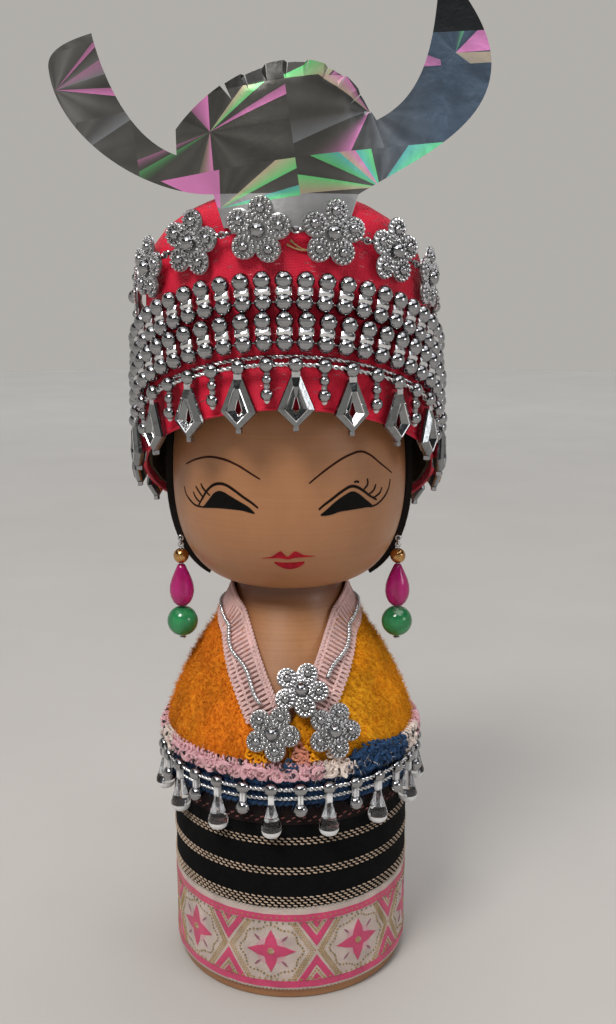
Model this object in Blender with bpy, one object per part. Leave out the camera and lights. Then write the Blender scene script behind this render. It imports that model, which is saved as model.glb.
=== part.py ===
"""Turned wooden doll in a horned festival costume, built as its separate pieces.

Metres, +Z up. The origin is the centre of the flat base and the doll faces -Y.
Angles round the doll are counted from its front towards its +X side.
"""

import math

import bmesh
import bpy
from mathutils import Matrix, Vector
from mathutils.geometry import delaunay_2d_cdt, interpolate_bezier

MM = 0.001

# Fits
CLEARANCE = 0.3 * MM

# Turned body and neck
BASE_RADIUS = 38.5 * MM
BASE_CHAMFER = 1.0 * MM
SHOULDER_BASE = 80.0 * MM
SHOULDER_RISE = 48.0 * MM
SHOULDER_FULLNESS = 10.0 * MM
NECK_SWEEP = 20.0 * MM
NECK_FLARE = 9.0 * MM
NECK_RADIUS = 17.5 * MM
NECK_LENGTH = 3.0 * MM
DOWEL_RADIUS = 4.0 * MM
DOWEL_DEPTH = 14.0 * MM
DOWEL_REACH = 12.0 * MM

# Turned head, with heights counted from its flat foot
HEAD_FOOT_RADIUS = 18.0 * MM
HEAD_RADIUS = 37.5 * MM
JAW_RISE = 33.0 * MM
JAW_SPREAD = 12.0 * MM
JAW_FULLNESS = 20.0 * MM
CROWN_RISE = 55.0 * MM
CROWN_FULLNESS = 36.0 * MM
CROWN_FLAT = 26.0 * MM

# Hem ribbon, skirt and waist
RIBBON_FOOT = 4.0 * MM
RIBBON_WIDTH = 28.5 * MM
RIBBON_THICKNESS = 0.7 * MM
SKIRT_THICKNESS = 0.6 * MM
BRAID_WIDTH = 7.0 * MM
BRAID_THICKNESS = 0.7 * MM
TUFT_HEIGHT = 3.6 * MM
TUFT_DEPTH = 3.0 * MM
TUFT_COUNT = 28
TUFT_DIP = 0.72
TUFT_SECTION = ((0.0, 0.0), (0.7, 0.0), (1.0, 0.5), (0.6, 1.0), (0.0, 1.0))

# Jacket and collar
JACKET_HEM = 78.0 * MM
JACKET_TOP = 125.0 * MM
FELT_THICKNESS = 1.6 * MM
FRONT_GAP = 0.4 * MM
NECKLINE_FOOT = 92.0 * MM
NECKLINE_HALF = 16.0 * MM
NECKLINE_LIMIT = 0.97
COLLAR_WIDTH = 10.5 * MM
COLLAR_THICKNESS = 1.4 * MM
COLLAR_FOOT = 95.0 * MM
COLLAR_NECK = 119.0 * MM
COLLAR_SETBACK = 0.55
COLLAR_CORD_RADIUS = 0.8 * MM
COLLAR_CORD_WAVE = 1.3 * MM
COLLAR_CORD_WAVES = 3

# Metal-look trims
FLOWER_RADIUS = 8.1 * MM
FLOWER_DEPTH = 3.2 * MM
PETALS = 5
CORD_RADIUS = 0.8 * MM
BEAD_RADIUS = 2.3 * MM
BEAD_LENGTH = 3.8 * MM
BEAD_FLAT = 0.4
WAIST_BEAD_RADIUS = 2.0 * MM
WAIST_CORD_DROP = 3.6 * MM
WAIST_PAIRS = 15
WAIST_PHASE = math.radians(-7.0)
WAIST_LOOSE = 5

# Chest flowers as distance to the +X side, height and backward tilt
CHEST_FLOWERS = (
    ("chest_flower_top", 3.6 * MM, 102.8 * MM, math.radians(31.0)),
    ("chest_flower_left", -4.6 * MM, 91.5 * MM, math.radians(17.0)),
    ("chest_flower_right", 13.4 * MM, 91.5 * MM, math.radians(17.0)),
)

# Hat, with levels counted at its sides from where its card crown rests on the hair
HAIR_THICKNESS = 2.0 * MM
HAIR_FRONT = math.radians(86.0)
HAIR_FOOT = 2.0 * MM
HAT_DEPTH = 61.0 * MM
HAT_HEM_FULLNESS = 7.0 * MM
HAT_CROWN_FULLNESS = 4.0 * MM
HAT_HEM_TILT = 25.5 * MM
HAT_CROWN_TILT = 20.0 * MM
HAT_CROWN_START = -6.0 * MM
HAT_DOME = 20.0 * MM
HAT_DOME_CURVE = 0.75
HAT_DOME_END = math.radians(84.0)
HAT_SWAY = -1.0 * MM
COVER_THICKNESS = 0.8 * MM
CARD_THICKNESS = 1.0 * MM
CARD_SETBACK = 2.0 * MM
CARD_CROWN_RADIUS = 26.0 * MM
BAND_COUNT = 51
BAND_HALF_HEIGHT = 5.0 * MM
BAND_BALL = 3.8 * MM
BAND_PLATE = 1.0 * MM
BAND_BALL_LEVEL = 0.6
UPPER_BAND_LEVEL = -25.0 * MM
LOWER_BAND_LEVEL = -37.0 * MM
FRINGE_LEVEL = -47.0 * MM
HAT_PAIRS = 19
HAT_PHASE = math.radians(3.4)
HAT_LOOSE_KITES = 7
HAT_LOOSE_DROPS = 6
CHAIN_LEVEL = -7.0 * MM
CHAIN_COUNT = 14
CHAIN_PHASE = math.radians(-8.3)
CHAIN_WIRE = 0.6 * MM

# Kite pendant, with heights counted down from its cord
KITE_HALF_WIDTH = 5.4 * MM
KITE_TOP = 3.0 * MM
KITE_WAIST = 12.3 * MM
KITE_BOTTOM = 17.6 * MM
KITE_HALF_DEPTH = 1.4 * MM
KITE_RIDGE = 0.62
KITE_WINDOW = 0.26
NECK_BAR = 0.9 * MM
NECK_START = 0.7
TIP_LENGTH = 1.4 * MM

# Turned drops as radius and height below the cord
DROP_PROFILE = ((0.9, 1.5), (1.9, 4.2), (0.9, 6.1), (2.2, 8.1), (1.3, 9.7), (0.0, 10.2))
TEAR_PROFILE = ((0.9, 1.4), (0.8, 4.6), (2.3, 8.5), (2.9, 12.6), (2.0, 14.8), (0.0, 15.6))
BALL_PROFILE = ((0.8, 1.4), (0.8, 4.6), (2.2, 6.2), (2.1, 7.8), (0.0, 9.1))

# Horned crest card, with its outline counted from the middle of its crease
CREST_THICKNESS = 0.6 * MM
CREST_TAB = 9.5 * MM
CREST_TAB_HALF = 17.0 * MM
CREST_CREASE_HALF = 20.0 * MM
CREST_LEAN = math.radians(7.0)
CREST_RIM_TABS = 8
CREST_RIM_CUT = 3.0 * MM
CREST_RIM_FOLD = 2.2 * MM
CREST_MESH = 11.0 * MM
LEFT_HORN_OUTER = ((-40.0, 0.0), (-68.0, 18.0), (-70.0, 38.0))
LEFT_HORN_END = ((-70.3, 43.0), (-64.0, 45.0), (-56.0, 46.4))
LEFT_HORN_INNER = ((-54.5, 40.0), (-47.0, 17.0), (-30.6, 11.0))
CREST_ARCH_START = (-30.8, 18.0)
CREST_ARCH = ((-18.0, 34.0), (14.0, 46.0), (23.7, 22.0))
RIGHT_HORN_START = (25.0, 20.2)
RIGHT_HORN_INNER = ((38.0, 27.0), (42.0, 40.0), (43.0, 64.0))
RIGHT_HORN_END = ((50.0, 58.0), (59.0, 48.0), (59.0, 38.0))
RIGHT_HORN_OUTER = ((59.0, 20.0), (36.0, 10.0))

# Earrings
EAR_HEIGHT = 13.3 * MM
EAR_LEAD = 4.0 * MM
EAR_WIRE = 0.25 * MM
EAR_EYE = 0.8 * MM
EAR_RING = 1.1 * MM
EAR_PIN = 0.4 * MM
EAR_FOOT_RADIUS = 1.1 * MM
EAR_FOOT = 0.6 * MM
GOLD_RADIUS = 2.5 * MM
DROP_RADIUS = 4.0 * MM
DROP_LENGTH = 14.0 * MM
GREEN_RADIUS = 5.0 * MM

# Facets
ROUND_STEPS = 24
CURVE_STEPS = 8
HEAD_ROWS = 6
DRESS_ROWS = 8
DRESS_COLUMNS = 12
DOME_ROWS = 4
BEAD_STEPS = 5
DROP_STEPS = 5
CORD_SIDES = 4
LINK_STEPS = 7
EAR_BEAD_STEPS = 8
CORNERS_PER_TAB = 4
FINE_PETAL = ((-22, 0.93), (-8, 1.0), (8, 1.0), (22, 0.93), (36, 0.7))
PLAIN_PETAL = ((-17, 1.0), (17, 1.0), (36, 0.7))
FINE_RINGS = ((0.26, 0.5), (0.7, 0.85), (1.0, 0.0))
PLAIN_RINGS = ((0.55, 0.9), (1.0, 0.0))
SMOOTH_ANGLE = math.radians(35.0)

# Places that follow from the sizes above
NECK_TOP = SHOULDER_BASE + SHOULDER_RISE + NECK_LENGTH
HEAD_FOOT = NECK_TOP + CLEARANCE
RIBBON_TOP = RIBBON_FOOT + RIBBON_WIDTH
SKIRT_RADIUS = BASE_RADIUS + CLEARANCE + SKIRT_THICKNESS
BRAID_TOP = JACKET_HEM - 3 * CLEARANCE
BRAID_RADIUS = SKIRT_RADIUS + CLEARANCE + BRAID_THICKNESS
WAIST_CORD_HEIGHT = JACKET_HEM - WAIST_CORD_DROP
WAIST_CORD_RADIUS = BRAID_RADIUS + CLEARANCE + WAIST_BEAD_RADIUS
HAT_HEM_RADIUS = HEAD_RADIUS + HAIR_THICKNESS + HAT_HEM_FULLNESS
HAT_CROWN_RADIUS = HEAD_RADIUS + HAIR_THICKNESS + HAT_CROWN_FULLNESS
CARD_INSET = COVER_THICKNESS + CLEARANCE
FELT_SEAT = 2 * CLEARANCE
TRIM_SEAT = FELT_SEAT + FELT_THICKNESS + 2 * CLEARANCE


def clear_scene():
    """Removes whatever the opened file holds."""
    for old in list(bpy.data.objects):
        bpy.data.objects.remove(old, do_unlink=True)


def finish(name, colour, roughness, metallic=0.0):
    """Principled material of one colour."""
    made = bpy.data.materials.new(name)
    made.use_nodes = True
    shader = made.node_tree.nodes["Principled BSDF"]
    shader.inputs["Base Color"].default_value = (*colour, 1.0)
    shader.inputs["Roughness"].default_value = roughness
    shader.inputs["Metallic"].default_value = metallic
    return made


FINISHES = {
    "wood": ((0.42, 0.22, 0.10), 0.5, 0.0),
    "ribbon": ((0.75, 0.62, 0.60), 0.7, 0.0),
    "skirt": ((0.02, 0.02, 0.03), 0.85, 0.0),
    "orange_felt": ((0.80, 0.25, 0.03), 0.95, 0.0),
    "yellow_felt": ((0.80, 0.42, 0.05), 0.95, 0.0),
    "collar": ((0.75, 0.30, 0.28), 0.8, 0.0),
    "chenille": ((0.80, 0.25, 0.35), 0.95, 0.0),
    "blue_yarn": ((0.02, 0.03, 0.10), 0.95, 0.0),
    "silver": ((0.75, 0.75, 0.76), 0.2, 1.0),
    "hair": ((0.01, 0.01, 0.01), 0.95, 0.0),
    "card": ((0.45, 0.30, 0.20), 0.9, 0.0),
    "satin": ((0.55, 0.01, 0.02), 0.4, 0.0),
    "hologram": ((0.45, 0.48, 0.50), 0.25, 0.9),
    "clear": ((0.85, 0.87, 0.90), 0.1, 0.0),
    "gold": ((0.70, 0.45, 0.12), 0.25, 1.0),
    "magenta": ((0.65, 0.02, 0.25), 0.1, 0.0),
    "green": ((0.05, 0.35, 0.18), 0.12, 0.0),
}


def empty(name, place, parent=None):
    """Plain axes at a place of the doll, under another empty."""
    made = bpy.data.objects.new(name, None)
    made.empty_display_size = 10 * MM
    bpy.context.collection.objects.link(made)
    attach(made, place, parent)
    return made


def attach(made, place, parent):
    """Sets an object at a place of the doll; the empties above it are only shifted."""
    made.location = place
    made.parent = parent
    while parent:
        made.location -= parent.location
        parent = parent.parent


def piece(name, mesh, slot, place=(0, 0, 0), parent=None, turn=None):
    """One solid of the doll, with a material of its own."""
    mesh.name = name
    mesh.shade_smooth()
    mesh.set_sharp_from_angle(angle=SMOOTH_ANGLE)
    mesh.materials.clear()
    mesh.materials.append(finish(name + "_finish", *FINISHES[slot]))
    made = bpy.data.objects.new(name, mesh)
    bpy.context.collection.objects.link(made)
    attach(made, Vector(place), parent)
    if turn is not None:
        made.rotation_euler = turn
    return made


def closed_mesh(bm):
    """Mesh from a finished bmesh, with its faces pointing out."""
    bmesh.ops.recalc_face_normals(bm, faces=bm.faces)
    mesh = bpy.data.meshes.new("solid")
    bm.to_mesh(mesh)
    bm.free()
    return mesh


def loft(rings, closed=False):
    """Solid through rings of points. A ring of one point is a tip; open ends are filled."""
    bm = bmesh.new()
    loops = [[bm.verts.new(point) for point in ring] for ring in rings]
    following = loops[1:] + loops[:1] if closed else loops[1:]
    for low, high in zip(loops, following):
        count = max(len(low), len(high))
        for i in range(count):
            j = (i + 1) % count
            if len(low) == 1:
                bm.faces.new((low[0], high[j], high[i]))
            elif len(high) == 1:
                bm.faces.new((low[i], low[j], high[0]))
            else:
                bm.faces.new((low[i], low[j], high[j], high[i]))
    if not closed:
        for end in (loops[0], loops[-1]):
            if len(end) > 1:
                bm.faces.new(end)
    return closed_mesh(bm)


def shell(outer, inner, round_rows, capped=False):
    """Thin wall between two equal grids of points. Round rows close on themselves; a cap closes the last."""
    bm = bmesh.new()
    walls = [[[bm.verts.new(point) for point in row] for row in grid] for grid in (outer, inner)]
    columns = len(outer[0])
    spans = [(i, (i + 1) % columns) for i in range(columns if round_rows else columns - 1)]
    for wall in walls:
        for low, high in zip(wall, wall[1:]):
            for i, j in spans:
                bm.faces.new((low[i], low[j], high[j], high[i]))
    rims = [(0, i, 0, j) for i, j in spans]
    last = len(outer) - 1
    if capped:
        for wall in walls:
            bm.faces.new(wall[last])
    else:
        rims += [(last, i, last, j) for i, j in spans]
    if not round_rows:
        rims += [(row, side, row + 1, side) for row in range(last) for side in (0, columns - 1)]
    for row, i, other, j in rims:
        bm.faces.new((walls[0][row][i], walls[0][other][j], walls[1][other][j], walls[1][row][i]))
    return closed_mesh(bm)


def circle(radius, height, steps):
    """Ring of points round Z, or a tip where the radius is nothing."""
    if radius < MM * MM:
        return [Vector((0, 0, height))]
    turns = [2 * math.pi * i / steps for i in range(steps)]
    return [Vector((radius * math.cos(a), radius * math.sin(a), height)) for a in turns]


def turned(profile, steps=ROUND_STEPS):
    """Solid of revolution from radii and heights, bottom to top."""
    return loft([circle(radius, height, steps) for radius, height in profile])


def bored(profile, steps):
    """Ring of revolution: a closed loop of radii and heights that leaves the axis free."""
    return loft([circle(radius, height, steps) for radius, height in profile], closed=True)


def tube(path, radius, sides, closed=False):
    """Round cord along points, without twist."""
    rings = []
    count = len(path)
    side = None
    for i, point in enumerate(path):
        after = path[(i + 1) % count] if closed or i + 1 < count else point
        before = path[i - 1] if closed or i else point
        along = (after - before).normalized()
        if side is None:
            side = along.orthogonal().normalized() if abs(along.z) > 0.9 else Vector((0, 0, 1))
        side = (side - along * side.dot(along)).normalized()
        other = along.cross(side)
        turns = [2 * math.pi * k / sides for k in range(sides)]
        rings.append([point + radius * (side * math.cos(a) + other * math.sin(a)) for a in turns])
    return loft(rings, closed)


def united(base, others):
    """One closed mesh from overlapping closed meshes."""
    helper = bpy.data.objects.new("united", base)
    group = bpy.data.collections.new("united_with")
    bpy.context.collection.objects.link(helper)
    bpy.context.scene.collection.children.link(group)
    for mesh in others:
        group.objects.link(bpy.data.objects.new("united_part", mesh))
    join = helper.modifiers.new("join", "BOOLEAN")
    join.operation = "UNION"
    join.solver = "EXACT"
    join.operand_type = "COLLECTION"
    join.collection = group
    graph = bpy.context.evaluated_depsgraph_get()
    result = bpy.data.meshes.new_from_object(helper.evaluated_get(graph))
    for used in [helper, *group.objects]:
        bpy.data.objects.remove(used, do_unlink=True)
    bpy.data.collections.remove(group)
    return result


def moved(mesh, matrix):
    """The same mesh, shifted or turned."""
    mesh.transform(matrix)
    return mesh


def curve(start, handle, other_handle, end, steps=CURVE_STEPS):
    """Points of one Bezier stretch, as pairs."""
    ends = [Vector((*point, 0)) for point in (start, handle, other_handle, end)]
    return [(point.x, point.y) for point in interpolate_bezier(*ends, steps)]


def between(low, high, count):
    """Evenly spaced numbers, both ends among them."""
    return [low + (high - low) * i / (count - 1) for i in range(count)]


def shoulder_profile():
    """Radii and heights of the body's shoulder, from the straight side up to the neck."""
    neck_base = SHOULDER_BASE + SHOULDER_RISE
    return curve(
        (BASE_RADIUS, SHOULDER_BASE),
        (BASE_RADIUS, SHOULDER_BASE + SHOULDER_FULLNESS),
        (NECK_RADIUS + NECK_FLARE, neck_base - NECK_SWEEP),
        (NECK_RADIUS, neck_base),
        DRESS_ROWS,
    )


def head_profile():
    """Radii and heights of the head, counted from its foot."""
    jaw = curve(
        (HEAD_FOOT_RADIUS, 0),
        (HEAD_FOOT_RADIUS + JAW_SPREAD, BASE_CHAMFER),
        (HEAD_RADIUS, JAW_RISE - JAW_FULLNESS),
        (HEAD_RADIUS, JAW_RISE),
        HEAD_ROWS,
    )
    crown = curve(
        (HEAD_RADIUS, JAW_RISE),
        (HEAD_RADIUS, JAW_RISE + CROWN_FULLNESS),
        (CROWN_FLAT, JAW_RISE + CROWN_RISE),
        (0, JAW_RISE + CROWN_RISE),
        HEAD_ROWS,
    )
    return jaw + crown[1:]


def profile_normals(profile):
    """Unit outward normals of a profile that runs upward on its +X side."""
    normals = []
    for i in range(len(profile)):
        low = Vector(profile[max(i - 1, 0)])
        high = Vector(profile[min(i + 1, len(profile) - 1)])
        along = (high - low).normalized()
        normals.append(Vector((along.y, -along.x)))
    return normals


def on_profile(profile, height, lift):
    """Radius and height of the point that stands off a profile by lift, at a height of the profile."""
    normals = profile_normals(profile)
    for i in range(len(profile) - 1):
        low, high = profile[i], profile[i + 1]
        if low[1] <= height <= high[1] and high[1] > low[1]:
            share = (height - low[1]) / (high[1] - low[1])
            point = Vector(low).lerp(Vector(high), share)
            return point + normals[i].lerp(normals[i + 1], share).normalized() * lift
    return Vector(profile[-1]) + normals[-1] * lift


def around(radius, angle, height):
    """Point at an angle from the doll's front."""
    return Vector((radius * math.sin(angle), -radius * math.cos(angle), height))


def dress_profile():
    """The body's outline that the jacket lies on."""
    return [(BASE_RADIUS, min(JACKET_HEM, SHOULDER_BASE) - BRAID_WIDTH), *shoulder_profile()]


def on_dress(height, angle, lift):
    """Point over the jacket's outline: lift stands off the wood."""
    point = on_profile(dress_profile(), height, lift)
    return around(point.x, angle, point.y)


def off_dress(point):
    """Distance of a point from the outline that the jacket lies on."""
    place = Vector((math.hypot(point.x, point.y), point.z))
    outline = [Vector(corner) for corner in dress_profile()]
    distances = []
    for low, high in zip(outline, outline[1:]):
        along = high - low
        share = (place - low).dot(along) / along.length_squared
        distances.append((place - low.lerp(high, min(1.0, max(0.0, share)))).length)
    return min(distances)


def neckline(height):
    """Angle of the jacket's front edge at a height: nearly closed low down, then a V."""
    radius = on_profile(dress_profile(), height, FELT_THICKNESS).x
    rise = max(0.0, (height - NECKLINE_FOOT) / (JACKET_TOP - NECKLINE_FOOT))
    half = FRONT_GAP / 2 + NECKLINE_HALF * rise
    return math.asin(min(NECKLINE_LIMIT, half / radius))


def make_body(parent):
    """Turned body with the socket for the neck dowel, and the dowel."""
    profile = [(BASE_RADIUS - BASE_CHAMFER, 0), (BASE_RADIUS, BASE_CHAMFER), *shoulder_profile()]
    socket = DOWEL_RADIUS + CLEARANCE
    floor = NECK_TOP - DOWEL_DEPTH
    profile += [(NECK_RADIUS, NECK_TOP), (socket, NECK_TOP), (socket, floor), (0, floor)]
    piece("torso_block", turned([(0, 0), *profile]), "wood", parent=parent)
    low = floor + CLEARANCE
    high = NECK_TOP + DOWEL_REACH
    dowel = [(0, low), (DOWEL_RADIUS, low), (DOWEL_RADIUS, high - BASE_CHAMFER)]
    dowel += [(DOWEL_RADIUS - BASE_CHAMFER, high), (0, high)]
    piece("neck_dowel", turned(dowel, ROUND_STEPS // 2), "wood", parent=parent)


def band(radius, thickness, low, high):
    """Strip of cloth wrapped round the body."""
    loop = ((radius, low), (radius + thickness, low), (radius + thickness, high), (radius, high))
    return bored(loop, ROUND_STEPS)


def make_skirt(parent):
    """Hem ribbon, black skirt cloth, blue yarn braid and pink tufted trim."""
    inside = BASE_RADIUS + CLEARANCE
    piece("hem_ribbon", band(inside, RIBBON_THICKNESS, RIBBON_FOOT, RIBBON_TOP), "ribbon", parent=parent)
    skirt_top = JACKET_HEM - CLEARANCE
    skirt = band(inside, SKIRT_THICKNESS, RIBBON_TOP + CLEARANCE, skirt_top)
    piece("skirt_cloth", skirt, "skirt", parent=parent)
    braid = band(SKIRT_RADIUS + CLEARANCE, BRAID_THICKNESS, BRAID_TOP - BRAID_WIDTH, BRAID_TOP)
    piece("waist_braid", braid, "blue_yarn", parent=parent)
    rings = []
    for i in range(TUFT_COUNT):
        swell = 1.0 if i % 2 else TUFT_DIP
        inner = on_dress(JACKET_HEM, 2 * math.pi * i / TUFT_COUNT, TRIM_SEAT)
        out = Vector((inner.x, inner.y, 0)).normalized()
        up = Vector((0, 0, TUFT_HEIGHT * swell))
        deep = out * TUFT_DEPTH * swell
        foot = inner + Vector((0, 0, CLEARANCE))
        rings.append([foot + deep * outward + up * upward for outward, upward in TUFT_SECTION])
    piece("waist_tuft_trim", loft(rings, closed=True), "chenille", parent=parent)


def make_jacket(parent):
    """Two felt halves that meet at the front and the back and leave a V at the neck."""
    inside = [height for _, height in shoulder_profile() if JACKET_HEM < height < JACKET_TOP]
    heights = [JACKET_HEM, *inside, JACKET_TOP]
    for name, side, slot in (("jacket_left", -1, "orange_felt"), ("jacket_right", 1, "yellow_felt")):
        grids = []
        for lift in (FELT_SEAT + FELT_THICKNESS, FELT_SEAT):
            grid = []
            for height in heights:
                back = math.pi - FRONT_GAP / BASE_RADIUS
                angles = between(neckline(height), back, DRESS_COLUMNS)
                grid.append([on_dress(height, side * angle, lift) for angle in angles])
            grids.append(grid)
        piece(name, shell(*grids, round_rows=False), slot, parent=parent)


def collar_path(count):
    """Angles and heights of a collar strip's middle, from its foot up the V and round to the back."""
    rising = []
    for height in between(COLLAR_FOOT, COLLAR_NECK, count):
        radius = on_profile(dress_profile(), height, FELT_THICKNESS).x
        rising.append((neckline(height) + COLLAR_SETBACK * COLLAR_WIDTH / radius, height))
    back = math.pi - COLLAR_WIDTH / (4 * BASE_RADIUS)
    behind = [(angle, COLLAR_NECK) for angle in between(rising[-1][0], back, count)[1:]]
    return rising + behind


def across(path, index):
    """Unit direction across a strip on the dress, as turn and climb at one of its stations."""
    low = path[max(index - 1, 0)]
    high = path[min(index + 1, len(path) - 1)]
    radius = on_profile(dress_profile(), path[index][1], FELT_THICKNESS).x
    along = Vector(((high[0] - low[0]) * radius, high[1] - low[1])).normalized()
    return along.y / radius, -along.x


def make_collar(parent, flowers):
    """Braid strip on each side of the V, with a waved silver cord on it down to the flowers."""
    path = collar_path(CURVE_STEPS)
    high = TRIM_SEAT + COLLAR_THICKNESS
    on_top = high + 2 * CLEARANCE + COLLAR_CORD_RADIUS
    for side_name, side in (("left", -1), ("right", 1)):
        rings = []
        for i, (angle, height) in enumerate(path):
            turn, climb = across(path, i)
            steps = between(-COLLAR_WIDTH / 2, COLLAR_WIDTH / 2, 3)
            width = [(height + step * climb, side * (angle + step * turn)) for step in steps]
            under = [on_dress(*place, TRIM_SEAT) for place in width]
            over = [on_dress(*place, high) for place in width]
            rings.append(under + over[::-1])
        piece("collar_trim_" + side_name, loft(rings), "collar", parent=parent)
        fine = collar_path(2 * CURVE_STEPS)[: 3 * CURVE_STEPS]
        cord = []
        for i, (angle, height) in enumerate(fine):
            turn, climb = across(fine, i)
            wave = COLLAR_CORD_WAVE * math.sin(2 * math.pi * COLLAR_CORD_WAVES * i / len(fine))
            cord.append(on_dress(height + wave * climb, side * (angle + wave * turn), on_top))
        free = FLOWER_RADIUS + COLLAR_CORD_RADIUS + CLEARANCE
        kept = [point for point in cord if all((point - centre).length > free for centre in flowers)]
        piece("collar_cord_" + side_name, tube(kept, COLLAR_CORD_RADIUS, CORD_SIDES), "silver", parent=parent)


def flower(petal, levels):
    """Five-petal flower trim lying on XY: swelling petals round a larger middle bead."""

    def ring(share, height):
        points = []
        for turn in range(PETALS):
            for degrees, reach in petal:
                angle = 2 * math.pi * turn / PETALS + math.radians(degrees)
                radius = FLOWER_RADIUS * share * reach
                swell = FLOWER_DEPTH * height * reach * reach
                points.append(Vector((radius * math.cos(angle), radius * math.sin(angle), swell)))
        return points

    middle = Vector((0, 0, FLOWER_DEPTH))
    return loft([[middle], *(ring(*level) for level in levels)])


def facing(angle, tilt):
    """Turn that makes a flat trim look away from the doll at an angle, tilted back."""
    return Matrix.Rotation(angle, 4, "Z") @ Matrix.Rotation(math.pi / 2 - tilt, 4, "X")


def chest_places():
    """Turned placements of the chest flowers, each slid out until its back clears the collar."""
    places = []
    top = TRIM_SEAT + COLLAR_THICKNESS + CLEARANCE
    for name, shift, height, tilt in CHEST_FLOWERS:
        radius = on_profile(dress_profile(), height, top).x
        angle = math.asin(shift / radius)
        frame = facing(angle, tilt)
        out = frame.to_3x3() @ Vector((0, 0, 1))
        centre = around(radius, angle, height)
        face = [frame.to_3x3() @ point for point in circle(FLOWER_RADIUS, 0, ROUND_STEPS)]
        back = [point * share for point in face for share in (0.5, 1.0)]
        while min(off_dress(centre + point) for point in back) < top:
            centre = centre + out * CLEARANCE / 2
        places.append((name, Matrix.Translation(centre) @ frame))
    return places


def make_chest_flowers(parent, places):
    """Three flower trims on the chest."""
    for name, place in places:
        turn = place.to_euler()
        piece(name, flower(FINE_PETAL, FINE_RINGS), "silver", place.translation, parent, turn)


def pendant_bead(radius, slant):
    """Bored bead on a cord that runs along X and falls towards +X by a slant."""
    hole = CORD_RADIUS + CLEARANCE
    half = BEAD_LENGTH / 2
    flat = BEAD_FLAT * half
    loop = ((hole, -half), (radius, -flat), (radius, flat), (hole, half))
    upright = bored(loop, BEAD_STEPS)
    return moved(upright, Matrix.Rotation(slant, 4, "Y") @ Matrix.Rotation(math.pi / 2, 4, "Y"))


def hanging(profile):
    """Turned drop below a cord, from radii and depths in millimetres."""
    return turned([(radius * MM, -depth * MM) for radius, depth in profile], DROP_STEPS)


def kite_loop(scale, depth):
    """Four corners of the kite, drawn in towards its middle, at a depth of its frame."""
    middle = -(KITE_TOP + KITE_BOTTOM) / 2
    half = KITE_HALF_WIDTH
    corners = ((0, -KITE_TOP), (half, -KITE_WAIST), (0, -KITE_BOTTOM), (-half, -KITE_WAIST))
    return [Vector((x * scale, depth, middle + (z - middle) * scale)) for x, z in corners]


def bar(half, high, low):
    """Square bar along Z."""
    corners = ((-half, -half), (half, -half), (half, half), (-half, half))
    return loft([[Vector((x, y, z)) for x, y in corners] for z in (high, low)])


def kite():
    """Faceted open kite with its neck and tip."""
    frame = [
        kite_loop(1.0, 0),
        kite_loop(KITE_RIDGE, -KITE_HALF_DEPTH),
        kite_loop(KITE_WINDOW, 0),
        kite_loop(KITE_RIDGE, KITE_HALF_DEPTH),
    ]
    neck = bar(NECK_BAR, -NECK_START * BEAD_RADIUS, -KITE_TOP - NECK_BAR)
    tip = bar(NECK_BAR / 2, -KITE_BOTTOM + NECK_BAR, -KITE_BOTTOM - TIP_LENGTH)
    return loft(frame, closed=True), neck, tip


def plain_kite():
    """Kite pendant of few facets, closed, with its bead."""
    sizes = (
        (BEAD_RADIUS, BEAD_RADIUS, 0),
        (NECK_BAR, NECK_BAR, -NECK_START * KITE_TOP),
        (KITE_HALF_WIDTH, KITE_HALF_DEPTH, -KITE_WAIST),
    )
    rings = [[Vector((0, 0, BEAD_RADIUS))]]
    for x, y, z in sizes:
        rings.append([Vector((x, 0, z)), Vector((0, y, z)), Vector((-x, 0, z)), Vector((0, -y, z))])
    return loft([*rings, [Vector((0, 0, -KITE_BOTTOM))]])


def plain_drop(profile, radius):
    """Turned pendant of few facets with its bead."""
    below = [(reach * MM, -depth * MM) for reach, depth in profile[1::2]]
    return turned([(0, radius), (radius, 0), *below], CORD_SIDES)


def hang(mesh, place, angle):
    """Mesh of a pendant carried to its place on a cord."""
    return moved(mesh, Matrix.Translation(place) @ Matrix.Rotation(angle, 4, "Z"))


def middle_first(count, loose):
    """Numbers of the loose pendants, those nearest the front, and of the others."""
    low = -((loose - 1) // 2)
    near = list(range(low, low + loose))
    return near, [i for i in range(low + loose, low + count)]


def make_waist_fringe(parent):
    """Cord round the waist with teardrops and ball drops; those in front swing on it."""
    step = 2 * math.pi / WAIST_PAIRS
    kinds = (
        ("waist_teardrop", TEAR_PROFILE, "clear", WAIST_PHASE),
        ("waist_ball_drop", BALL_PROFILE, "silver", WAIST_PHASE + step / 2),
    )
    fixed = []
    for name, profile, slot, phase in kinds:
        near, others = middle_first(WAIST_PAIRS, WAIST_LOOSE)
        for number, index in enumerate(near, 1):
            angle = phase + index * step
            mesh = united(pendant_bead(WAIST_BEAD_RADIUS, 0), [hanging(profile)])
            place = around(WAIST_CORD_RADIUS, angle, WAIST_CORD_HEIGHT)
            piece(f"{name}_{number}", mesh, slot, place, parent, (0, 0, angle))
        for index in others:
            angle = phase + index * step
            place = around(WAIST_CORD_RADIUS, angle, WAIST_CORD_HEIGHT)
            fixed.append(hang(plain_drop(profile, WAIST_BEAD_RADIUS), place, angle))
    turns = [WAIST_PHASE + step * i / 2 for i in range(2 * WAIST_PAIRS)]
    ring = [around(WAIST_CORD_RADIUS, angle, WAIST_CORD_HEIGHT) for angle in turns]
    cord = united(tube(ring, CORD_RADIUS, CORD_SIDES, closed=True), fixed)
    piece("waist_fringe_cord", cord, "silver", parent=parent)


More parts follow.
